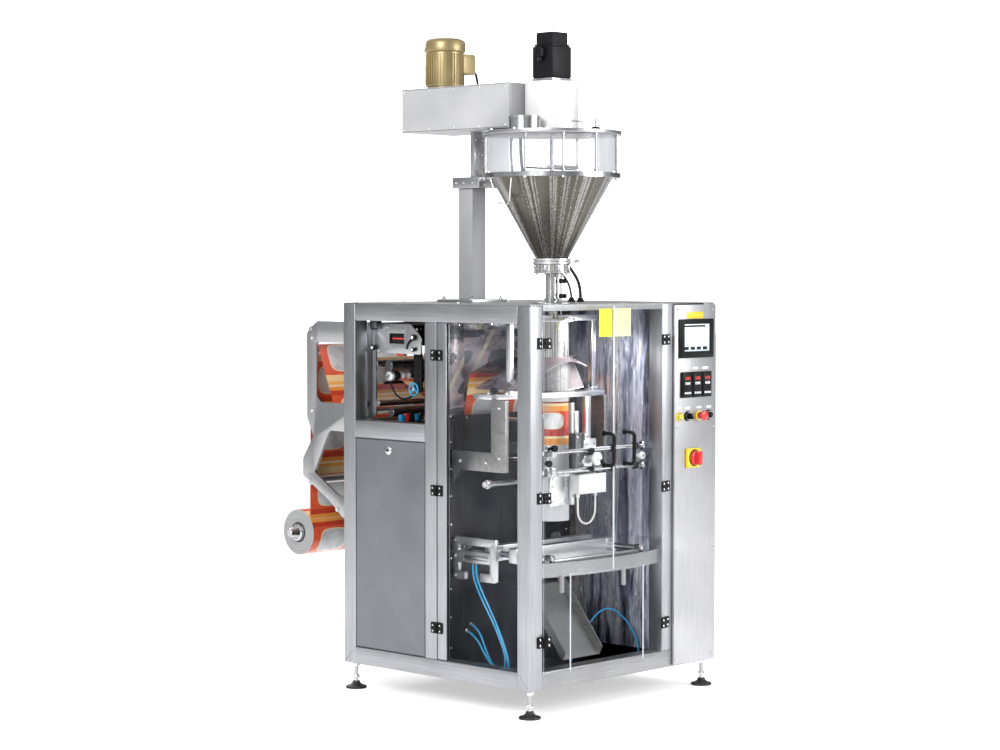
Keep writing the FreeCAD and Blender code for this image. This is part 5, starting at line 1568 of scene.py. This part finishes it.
def neck_rod():
    """A thin adjusting rod beside the filler's neck, with two small black knobs and its end block."""
    knobs = Piece("tube_clamp_knobs", "machine", BLACK, BRIGHT)
    knobs.use(BRIGHT).rod("z", (421, 232, 1500), 3.2, 152, 0.6, 24)
    knobs.block((402, 432), (226, 244), (1646, 1658), 2)
    for z in (1571, 1629):
        knobs.use(BLACK).block((414, 430), (225, 239), (z - 9, z + 9), 2.5, 3)
        knobs.lathe("x", (430, 232, z), [(0, 0), (4, 0), (4, 6), (8, 8), (9, 10), (9, 16), (7, 18), (0, 18)],
                    28)
    knobs.use(BRIGHT).tube("z", on_axis(1552), 31, 24.3, 10, 48)
    knobs.done(slot="black_plastic")


neck_rod()


# ---------------------------------------------------------------- back sealing unit

def sealing_unit():
    unit = Piece("sealing_rods", "machine", BRIGHT, ALUMINIUM, BLACK, WHITE, DARK_STEEL, PALE_STEEL)
    for z in (905, 980):
        unit.use(BRIGHT).rod("x", (190, 100, z), 9, 556, 0.8, 32)
        unit.use(DARK_STEEL).lathe("x", (176, 100, z),
                                   [(0, 0), (12, 0), (14, 1.5), (14, 15), (12, 16), (0, 16)], 40)
        unit.use(WHITE).lathe("x", (175.7, 100, z), [(0, 0), (8, 0), (8, 0.8), (0, 0.8)], 32)
        unit.use(BRIGHT).lathe("x", (745, 100, z), [(0, 0), (16, 0), (18, 2), (18, 12), (0, 12)], 40)
        unit.use(BLACK).lathe("x", (700, 100, z), [(9, 0), (15, 0), (16.5, 1.5), (16.5, 14), (15, 15),
                                                   (9, 15)], 40)
        unit.lathe("x", (560, 100, z), [(9, 0), (14, 0), (15, 1.5), (15, 16), (14, 17), (9, 17)], 40)
        unit.use(ALUMINIUM).block((209, 235), (82, 118), (z - 18, z + 18), 3, 3)
        unit.use(BRIGHT).screw("y", (216, 82, z + 11), 3.4, 3, -1).screw("y", (228, 82, z - 11), 3.4, 3, -1)
    hole = arc((402, 937), 10.6, 0, 360, 32)[:-1]
    unit.use(DARK_STEEL).prism("xz", soft_corners([(366, 896), (413.5, 896), (413.5, 914), (413.5, 957),
                                                   (430, 957),
                                                   (430, 1046), (366, 1046)], 2), 104, 36, 1.2, (hole,))
    unit.use(PALE_STEEL).block((406, 478), (98, 140), (981, 1022), 2.5, 3)
    unit.block((414, 462), (104, 140), (914, 957), 2, 3)
    unit.block((406, 433), (92, 104), (1018, 1044), 2, 3)
    unit.use(ALUMINIUM).block((440, 478), (138, 202), (1000, 1022), 2)
    unit.block((476, 542), (182, 202), (1000, 1022), 2)
    unit.block((511, 542), (182, 202), (1015, 1180), 2.5)
    unit.use(PALE_STEEL).block((290, 388), (166, 176), (765, 900), 2)
    unit.block((414, 436), (150, 160), (1040, 1128), 1.5)
    unit.use(ALUMINIUM).block((300, 330), (102, 168), (885, 899), 1.5)
    unit.block((414, 430), (138, 160), (1020, 1041), 1.5)
    unit.use(DARK_STEEL).block((505, 530), (109.5, 125), (885, 990), 1.5)
    unit.use(BRIGHT)
    for x, z in ((374, 1030), (384, 1000), (378, 966), (386, 930), (420, 1032)):
        unit.screw("y", (x, 104 if x < 400 else 92, z), 4.5, 3.5, -1)
    for x in (420, 464):
        unit.screw("y", (x, 98, 1002), 5, 3.5, -1)
    for x in (300, 380):
        for z in (782, 840, 872):
            unit.screw("y", (x, 166, z), 4.5, 3, -1)
    for x, z, radius in ((458, 945, 26), (725, 943, 15)):
        unit.use(WHITE).lathe("y", (x, 70, z), [(0, 0), (radius - 3, 0), (radius, 3), (radius, 12),
                                                (radius - 2, 14), (7, 15),
                                                (7, 34), (0, 34)], 48)
        unit.use(BRIGHT).rod("y", (x, 68.8, z), 5, 3, 0.6, 20)
    for x, z in ((424, 980), (424, 908), (478, 934)):
        unit.use(BLACK).lathe("y", (x, 66, z), [(0, 0), (8, 0), (9.5, 1.5), (9.5, 14), (8, 16), (5, 17),
                                                (5, 28), (0, 28)], 32)
    for x, z in ((209, 998), (178, 942)):
        unit.use(BLACK).lathe("y", (x, 62, z), [(0, 0), (11, 0), (13, 2), (13, 14), (9, 17), (6, 18), (6, 34),
                                                (0, 34)], 32)
    unit.use(BRIGHT).block((196, 222), (94, 106), (905, 1006), 2)
    unit.done(replaces="sealer_frame", slot="bright_steel")
    bar = Piece("vertical_seal_bar", "sealer", ALUMINIUM, DARK_STEEL, BRIGHT)
    bar.block((393, 411), (150, 168), (766, 1160), 2.5, 3)
    bar.use(DARK_STEEL).block((397, 407), (167, 170), (776, 1150), 0.6)
    bar.use(BRIGHT)
    for z in (800, 880, 1010, 1120):
        bar.screw("y", (402, 150, z), 4.5, 3.5, -1)
    bar.rod("y", (402, 96, 937), 10, 58, 1, 32)
    bar.done(replaces="vertical_sealer", slot="aluminium")
    box = Piece("terminal_box", "machine", WHITE, BLACK, BRIGHT)
    box.block((388, 542), (108, 146), (811, 885), 4, 3).block((387, 543), (104, 109), (810, 886), 2, 3)
    box.use(BRIGHT)
    for x in (396, 534):
        for z in (818, 878):
            box.screw("y", (x, 104.4, z), 2.8, 1, -1)
    for x, y in ((505, 128), (400, 124)):
        box.use(WHITE).lathe("z", (x, y, 797), [(4.2, 0), (8, 0), (8, 4), (7, 5), (7, 14), (0, 14)], 24)
    box.done(replaces="junction_box", slot="white_plastic")


sealing_unit()


# ---------------------------------------------------------------- film pull belts

def pull_belts():
    unit = Piece("belt_units", "machine", BLACK_MATT, ALUMINIUM, BRIGHT)
    for x in (315, 499):
        outer = arc((x, 1090), 20, 0, 180, 20) + arc((x, 880), 20, 180, 360, 20)
        inner = arc((x, 1090), 15.2, 0, 180, 20) + arc((x, 880), 15.2, 180, 360, 20)
        unit.use(BLACK_MATT).prism("xz", outer, 243, 50, 0.6, (inner,))
        sign = 1 if x < 407 else -1
        for k in range(26):
            z = 876 + 8.6 * k
            unit.block(sorted((x - sign * 16.8, x - sign * 14.6)), (244, 292), (z - 1.8, z + 1.8), 0.3)
        unit.use(ALUMINIUM).rod("y", (x, 246, 880), 14.6, 44, 1, 40)
        unit.use(BRIGHT).screw("y", (x, 246, 880), 6, 4, -1)
    unit.done(slot="black_plastic")
    paint("pull_units", ALUMINIUM)
    for name, body, node, x in (("belt_pulley_left", "belt_left", "left_belt_pulley", 315),
                                ("belt_pulley_right", "belt_right", "right_belt_pulley", 499)):
        pulley = Piece(name, body, ALUMINIUM, BRIGHT, BLACK)
        pulley.lathe("y", (x, 245, 1090), [(0, 0), (8, 0), (8, 1.4), (12, 1.4), (14.4, 2.4), (14.4, 46),
                                           (12, 47), (8, 47), (8, 243), (0, 243)], 48)
        for angle in range(0, 360, 60):
            pulley.use(BLACK).rod("y", (x + 9.6 * math.cos(math.radians(angle)), 246.0,
                                        1090 + 9.6 * math.sin(math.radians(angle))), 1.6, 2, 0.2, 12)
        pulley.use(BRIGHT).hexagon("y", (x, 244.6, 1090), 5.5, 3)
        pulley.done(replaces=node, slot="aluminium")


pull_belts()


# ---------------------------------------------------------------- cross sealing jaws

def jaw_guides():
    unit = Piece("jaw_guide_frame", "machine", BRIGHT, ALUMINIUM, TURNED, BLACK, WHITE, DARK_STEEL, BLUE)
    yoke = [(262, 480), (345, 480), (345, 512), (292, 512), (292, 548), (460, 548), (460, 512), (425, 512),
            (425, 480),
            (489, 480), (489, 645), (262, 645)]
    slots = (soft_corners([(292, 592), (460, 592), (460, 615), (292, 615)], 6),)
    unit.use(ALUMINIUM).prism("yz", soft_corners(yoke, 6), 85, 18, 1.2, slots)
    for x in (150, 664):
        unit.use(BRIGHT).rod("y", (x, 30, 586), 12, 459, 1, 40)
        unit.use(DARK_STEEL).lathe("y", (x, 475, 586), [(12, 0), (28, 0), (30, 2), (30, 14), (12, 14)], 48)
        unit.use(DARK_STEEL).lathe("y", (x, 24.5, 586),
                                   [(0, 6), (0, 1.2), (13, 1.2), (16, 3), (16, 30), (14, 32), (12, 32)], 40)
        unit.use(WHITE).lathe("y", (x, 24, 586), [(0, 0), (8, 0), (8, 1.6), (0, 1.6)], 32)
        for angle in range(45, 360, 90):
            unit.use(BRIGHT).screw("y", (x + 21 * math.cos(math.radians(angle)), 475,
                                         586 + 21 * math.sin(math.radians(angle))), 4, 3, -1)
    unit.use(ALUMINIUM).block((130, 684), (30, 48), (566, 582), 1.5)
    unit.use(TURNED).rod("y", (100, 302, 570), 18, 126, 1, 44)
    unit.use(ALUMINIUM).block((84, 118), (290, 302), (552, 588), 2)
    unit.block((84, 118), (428, 440), (552, 588), 2)
    unit.use(BRIGHT)
    for x in (90, 112):
        for z in (558, 582):
            unit.hexagon("y", (x, 286, z), 4.5, 4).rod("y", (x, 302, z), 2.6, 126, 0.2, 12)
    for x, y in ((98, 376), (106, 402)):
        unit.use(DARK_STEEL).lathe("z", (x, y, 540), [(0, 0), (5.4, 0), (6, 1), (6, 8), (8, 9), (8, 16),
                                                      (0, 16)], 24)
    unit.use(BRIGHT)
    for y in (275, 476):
        for z in (495, 570, 632):
            unit.screw("x", (85, y, z), 5, 4, -1)
    unit.done(replaces="jaw_guides", slot="bright_steel")


jaw_guides()


def jaw(name, node, body, low, high, inner):
    bar = Piece(name, body, ALUMINIUM, DARK_STEEL, BRIGHT, BLACK)
    middle = (low + high) / 2
    bar.use(ALUMINIUM).block((178, 636), (low, high), (556, 616), 2.5, 3)
    bar.use(DARK_STEEL)
    face = high if inner > 0 else low
    for z in range(563, 612, 6):
        bar.block((190, 624), sorted((face - inner * 2.0, face - inner * 0.1)), (z, z + 2.6), 0.5)
    for x in (150, 664):
        bar.use(ALUMINIUM).prism("xz", soft_corners([(x - 30, 556), (x + 30, 556), (x + 30, 616),
                                                     (x - 30, 616)], 8), low, high - low, 1.0,
                                 (arc((x, 586), 12.4, 0, 360, 40)[:-1],))
        bar.use(BRIGHT)
        outer = low if inner > 0 else high
        for dx in (-22, 22):
            for dz in (-22, 22):
                bar.screw("y", (x + dx, outer + (0.2 if inner > 0 else -0.2), 586 + dz), 3.6, 0.1,
                          -1 if inner > 0 else 1)
    bar.use(BLACK)
    for x in (230, 330, 484, 584):
        bar.rod("z", (x, middle, 612), 5, 4, 0.6, 20)
    bar.done(replaces=node, slot="aluminium")


jaw("jaw_bar_front", "front_jaw", "jaw_front", 185, 225, 1)
jaw("jaw_bar_rear", "rear_jaw", "jaw_rear", 311, 351, -1)


# ---------------------------------------------------------------- auger filler

def filler_column():
    post = Piece("filler_column", "machine", STEEL_Z, BRIGHT, STEEL_SHEET)
    post.use(SATIN_STEEL).block((361, 439), (655, 733), (1555, 1996), 3, 3)
    post.use(STEEL_SHEET).block((300, 500), (594, 794), (1543, 1555), 1.5)
    post.block((348, 452), (604, 754), (1996, 2040), 2.5, 3)
    post.block((370, 430), (654, 674), (2038, 2221), 2)
    post.use(BRIGHT)
    for x in (380, 420):
        post.screw("y", (x, 604, 2010), 6, 4, -1).screw("y", (x, 604, 2028), 6, 4, -1)
        for z in (2070, 2130, 2190):
            post.screw("y", (x, 654, z), 5, 4, -1)
    for y in (640, 690, 730):
        post.screw("x", (348, y, 2018), 6, 4, -1)
    post.done(replaces="filler_post", slot="stainless")


filler_column()


def drive_box():
    case = Piece("drive_case", "machine", SATIN_CASE, BRIGHT, BLACK, DARK_STEEL)
    hole = arc((AXIS_X, AXIS_Y), 105.2, 0, 360, 90)
    front = [(x, y) for x, y in hole if y >= 359.9]
    front.sort(key=lambda p: -p[0])
    outline = [(260, 360)] + sorted([p for p in front], key=lambda p: p[0]) + [(554, 360), (554, 952),
                                                                               (260, 952)]
    case.prism("xy", outline, 2220.4, 174.4, 2.0)
    case.use(DARK_STEEL)
    case.sweep([(260.4, 948, 2224), (260.4, 364, 2224)], 1.3, 8)
    case.sweep([(260.4, 948, 2391), (260.4, 364, 2391)], 1.0, 8)
    case.sweep([(260.6, 949, 2224), (260.6, 949, 2391)], 1.3, 8)
    case.use(BRIGHT)
    for y in (380, 520, 660, 800, 940):
        for z in (2232, 2383):
            case.screw("x", (260, y, z), 4, 2, -1).screw("x", (554, y, z), 4, 2, 1)
    for x in (285, 407, 530):
        for z in (2232, 2383):
            case.screw("y", (x, 951, z), 4, 1, 1)
    case.use(BLACK)
    for x, y, bore in ((540, 560, 6.6), (500, 575, 4.6)):
        case.lathe("z", (x, y, 2204), [(bore, 0), (9, 0), (10, 3), (10, 9), (12, 10), (12, 17), (0, 17)], 28)
    case.done(replaces="drive_box", slot="stainless")


drive_box()


def gold_motor():
    """The agitator motor: finned gold body, domed fan cover, terminal box and mounting flange."""
    low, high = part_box("agitator_motor")
    base, top = low.z * 1000, high.z * 1000
    motor = Piece("agitator_motor_body", "machine", GOLD, BRIGHT, BLACK)
    motor.lathe("z", (400, 848, base), [(0, 0), (70, 0), (70, 12), (75, 13), (76, 18), (76, 150), (80, 151),
                                        (83, 154),
                                        (84, 160), (84, 188), (80, 196), (70, 202), (60, 205), (40, 206),
                                        (0, 206)], 72)
    for k in range(40):
        angle = 2 * math.pi * (k + 0.5) / 40
        c, s = math.cos(angle), math.sin(angle)
        inner = (400 + 74 * c, 848 + 74 * s)
        outer = (400 + 79.5 * c, 848 + 79.5 * s)
        side = (-1.1 * s, 1.1 * c)
        motor.prism("xy", [(inner[0] + side[0], inner[1] + side[1]), (outer[0] + side[0], outer[1] + side[1]),
                           (outer[0] - side[0], outer[1] - side[1]),
                           (inner[0] - side[0], inner[1] - side[1])], base + 22, 122, 0.3)
    motor.use(BLACK)
    for k in range(18):
        angle = 2 * math.pi * k / 18
        motor.rod("z", (400 + 52 * math.cos(angle), 848 + 52 * math.sin(angle), top - 3.6), 3.2, 1.2, 0.2, 10)
    motor.use(GOLD)
    motor.block((430, 512), (786, 838), (base + 64, base + 146), 6, 3)
    motor.block((432, 510), (782, 788), (base + 66, base + 144), 3, 3)
    motor.use(BRIGHT)
    for x in (440, 502):
        for z in (base + 74, base + 136):
            motor.screw("y", (x, 782, z), 3, 2, -1)
    for angle in range(45, 360, 90):
        motor.hexagon("z", (400 + 62 * math.cos(math.radians(angle)),
                            848 + 62 * math.sin(math.radians(angle)), base + 12), 6, 5)
    motor.use(BLACK).lathe("x", (511, 812, base + 78), [(0, 0), (11, 0), (11, 8), (8, 10), (8, 18), (0, 18)],
                           28)
    motor.sweep(bend([(528, 812, base + 78), (541, 812, base + 74), (545, 806, base + 40),
                      (545, 800, base + 1)], 20), 5, 12)
    motor.done(replaces="agitator_motor", slot="gold_paint")


gold_motor()


def servo():
    motor = Piece("servo_body", "machine", BLACK, BLACK_MATT, BRIGHT, WHITE)
    motor.use(BLACK).block((353, 461), (214, 322), (2412, 2533), 5, 3)
    motor.use(BRIGHT).block((353.5, 460.5), (214.5, 321.5), (2396.2, 2410), 1.5)
    motor.use(BLACK).block((357, 457), (218, 318), (2408, 2414), 1)
    motor.use(BLACK_MATT).block((363, 451), (224, 312), (2530, 2587), 4, 3)
    motor.use(BLACK).block((359, 455), (220, 316), (2533, 2541), 2)
    motor.block((323, 355), (248, 288), (2490, 2525), 4, 3)
    motor.rod("z", (339, 268, 2474), 10, 17, 1.5, 24)
    motor.block((329, 349), (256, 280), (2524, 2533), 3)
    for x in (353.4, 460.6):
        for y in (222, 240, 258, 276, 294, 312):
            motor.block((x - 0.3, x + 0.3), (y - 3, y + 3), (2422, 2524), 0.1)
    for x in (362, 380, 398, 416, 434, 452):
        motor.block((x - 3, x + 3), (214.05, 214.6), (2422, 2524), 0.1)
    motor.use(BRIGHT)
    for x in (362, 452):
        for y in (223, 313):
            motor.screw("z", (x, y, 2410), 4, 3)
    for x in (370, 444):
        for y in (231, 305):
            motor.screw("z", (x, y, 2583.5), 3.5, 3)
    motor.done(replaces="servo_motor", slot="black_plastic")


servo()


def hopper_lid():
    lid = Piece("hopper_cover", "machine", STEEL_SHEET, TURNED, BRIGHT, BLACK, DARK_STEEL)
    holes = (arc((232, 248), 56, 0, 360, 56)[:-1], arc((AXIS_X, AXIS_Y), 22.4, 0, 360, 40)[:-1])
    lid.use(STEEL_SHEET).prism("xy", arc((AXIS_X, AXIS_Y), 270, 0, 360, 128)[:-1], 2191, 15, 1.2, holes)
    # The pale housing; its near-white colour is partly painted reflection on the steel.
    lid.use(SATIN_PALE_PAINTED_REFLECTION).lathe("z", on_axis(2206), [(94, 0), (105, 0), (105, 4), (104, 5), (104, 184),
                                                   (105, 185), (105, 190), (22.4, 190)], 96)
    lid.use(TURNED).tube("z", (232, 248, 2206), 62, 56, 52, 64)
    lid.lathe("z", (232, 248, 2245), [(62, 0), (64, 1.5), (64, 9), (62, 11)], 64)
    lid.use(DARK_STEEL).lathe("z", on_axis(2204), [(106, 0), (112, 0), (114, 2), (114, 5), (105.5, 7)], 96)
    lid.use(BRIGHT)
    for angle in range(0, 360, 30):
        lid.hexagon("z", (AXIS_X + 256 * math.cos(math.radians(angle + 9)),
                          AXIS_Y + 256 * math.sin(math.radians(angle + 9)), 2206), 6, 5)
    for angle in range(20, 360, 60):
        lid.screw("z", (AXIS_X + 122 * math.cos(math.radians(angle)),
                        AXIS_Y + 122 * math.sin(math.radians(angle)), 2206), 5, 4)
    lid.use(BLACK).lathe("z", (540, 160, 2206), [(0, 0), (16, 0), (18, 2), (18, 16), (14, 20), (0, 21)], 36)
    lid.use(BRIGHT).rod("z", (540, 160, 2226), 5, 34, 1, 20)
    lid.sweep([(300, 74, 2206), (300, 74, 2226), (303, 74, 2232), (309, 74, 2236), (360, 74, 2236),
               (366, 74, 2232),
               (369, 74, 2226), (369, 74, 2206)], 3.5)
    lid.done(replaces="hopper_lid", slot="stainless")


hopper_lid()


def hopper_bowl():
    bowl = Piece("hopper_bowl_wall", "machine", ACRYLIC_BOWL)
    bowl.lathe("z", on_axis(2044), [(252, 0), (258, 0), (258, 147), (252, 147), (252, 0)], 128)
    bowl.done(replaces="hopper_ring", slot="acrylic")
    clips = Piece("hopper_clips", "machine", BRIGHT, BLACK)
    for angle in (20, 80, 140, 200, 232, 262, 294, 330):
        c, s = turned(angle)
        x, y = AXIS_X + 262 * c, AXIS_Y + 262 * s
        clips.use(BRIGHT).rod("z", (x, y, 2030), 3.2, 174, 0.8, 16)
        clips.hexagon("z", (x, y, 2022), 6, 5).lathe("z", (x, y, 2046), [(0, 0), (6, 0), (6, 8), (0, 8)], 20)
        clips.lathe("z", (x, y, 2182), [(0, 0), (6, 0), (6, 8), (0, 8)], 20)
    clips.done(slot="bright_steel")


hopper_bowl()


def hopper_cone():
    cone = Piece("hopper_cone_shell", "machine", CONE_STEEL_PAINTED_REFLECTIONS, TURNED, BRIGHT, DARK_STEEL)
    cone.lathe("z", on_axis(1703), [(53.5, 2), (56, 0), (234, 323), (231.5, 325), (53.5, 2)], 128)
    cone.use(TURNED).lathe("z", on_axis(2026), [(231, 0), (267, 0), (267, 18), (266, 18.4), (231, 18.4),
                                                (231, 0)], 128)
    for z in (1696, 1708):
        cone.use(PALE_STEEL).tube("z", on_axis(z), 74, 68.5, 8, 72)
    cone.block((455, 497), (214, 236), (1698, 1714), 3, 3)
    cone.use(BRIGHT).rod("y", (488, 196, 1706), 4, 34, 0.8, 20)
    handle = [(AXIS_X + r * math.cos(a), AXIS_Y + r * math.sin(a), z)
              for r, a, z in ((250, -3.62, 2022), (238, -3.56, 1965), (224, -3.50, 1925), (224, -3.20, 1922),
                              (241, -3.12, 1968),
                              (250, -3.06, 2022))]
    cone.use(BRIGHT).sweep(bend(handle, 18), 3, 12)
    cone.use(TURNED).lathe("z", on_axis(1700), [(54, 0), (67, 0), (68, 1), (68, 9), (64, 11), (57, 13),
                                                (54, 13)], 72)
    cone.use(DARK_STEEL).sweep([(AXIS_X + (56 + 178 * t) * math.cos(-2.1),
                                 AXIS_Y + (56 + 178 * t) * math.sin(-2.1), 1703 + 323 * t)
                                for t in [k / 12 for k in range(13)]], 0.9, 6)
    cone.use(BRIGHT)
    for angle in range(0, 360, 45):
        cone.hexagon("z", (AXIS_X + 259 * math.cos(math.radians(angle + 20)),
                           AXIS_Y + 259 * math.sin(math.radians(angle + 20)), 2044), 6, 6)
    cone.done(replaces="hopper_cone", slot="stainless")


hopper_cone()


def filler_spout():
    spout = Piece("filler_spout", "machine", TUBE_STEEL_PAINTED_REFLECTIONS, BRIGHT, BLACK)
    spout.lathe("z", on_axis(790), [(22, 0), (24, 0), (24, 865), (30, 868), (71.5, 870), (71.5, 876),
                                    (68, 878), (68, 902),
                                       (71.5, 904), (71.5, 910), (22, 910), (22, 0)], 72)
    spout.use(BRIGHT)
    for angle in (200, 245, 290, 20, 110, 155):
        c, s = turned(angle)
        spout.rod("z", (AXIS_X + 62 * c, AXIS_Y + 62 * s, 1653), 5, 6, 1, 16)
        spout.block(sorted((AXIS_X + 70 * c - 5, AXIS_X + 70 * c + 5)),
                    sorted((AXIS_Y + 70 * s - 5, AXIS_Y + 70 * s + 5)), (1672, 1690), 1.5)
    spout.done(replaces="filler_tube", slot="stainless")


filler_spout()


def auger():
    """The feed screw: a continuous helical flight on a shaft, with two stirring arms in the hopper."""
    screw = Piece("auger_flight", "auger", TURNED, BRIGHT)
    screw.rod("z", on_axis(800), 8, 1500, 1, 32)
    part = screw.mesh
    turns, steps = 21, 20
    rows = []
    for k in range(turns * steps + 1):
        angle = 2 * math.pi * k / steps
        z = 835 + 820 * k / (turns * steps)
        rows.append([part.verts.new(at(AXIS_X + r * math.cos(angle), AXIS_Y + r * math.sin(angle), z + d))
                     for r, d in ((7.5, -1.5), (21.2, 0), (7.5, 1.5))])
    for first, second in zip(rows, rows[1:]):
        for a in (0, 1):
            part.faces.new((first[a], first[a + 1], second[a + 1], second[a]))
    screw.use(BRIGHT)
    screw.block((258, 556), (263, 273), (2061, 2079), 2.5)
    screw.block((318, 496), (263, 273), (1900.5, 1914.5), 2.5)
    screw.done(replaces="auger_screw", slot="bright_steel")


auger()
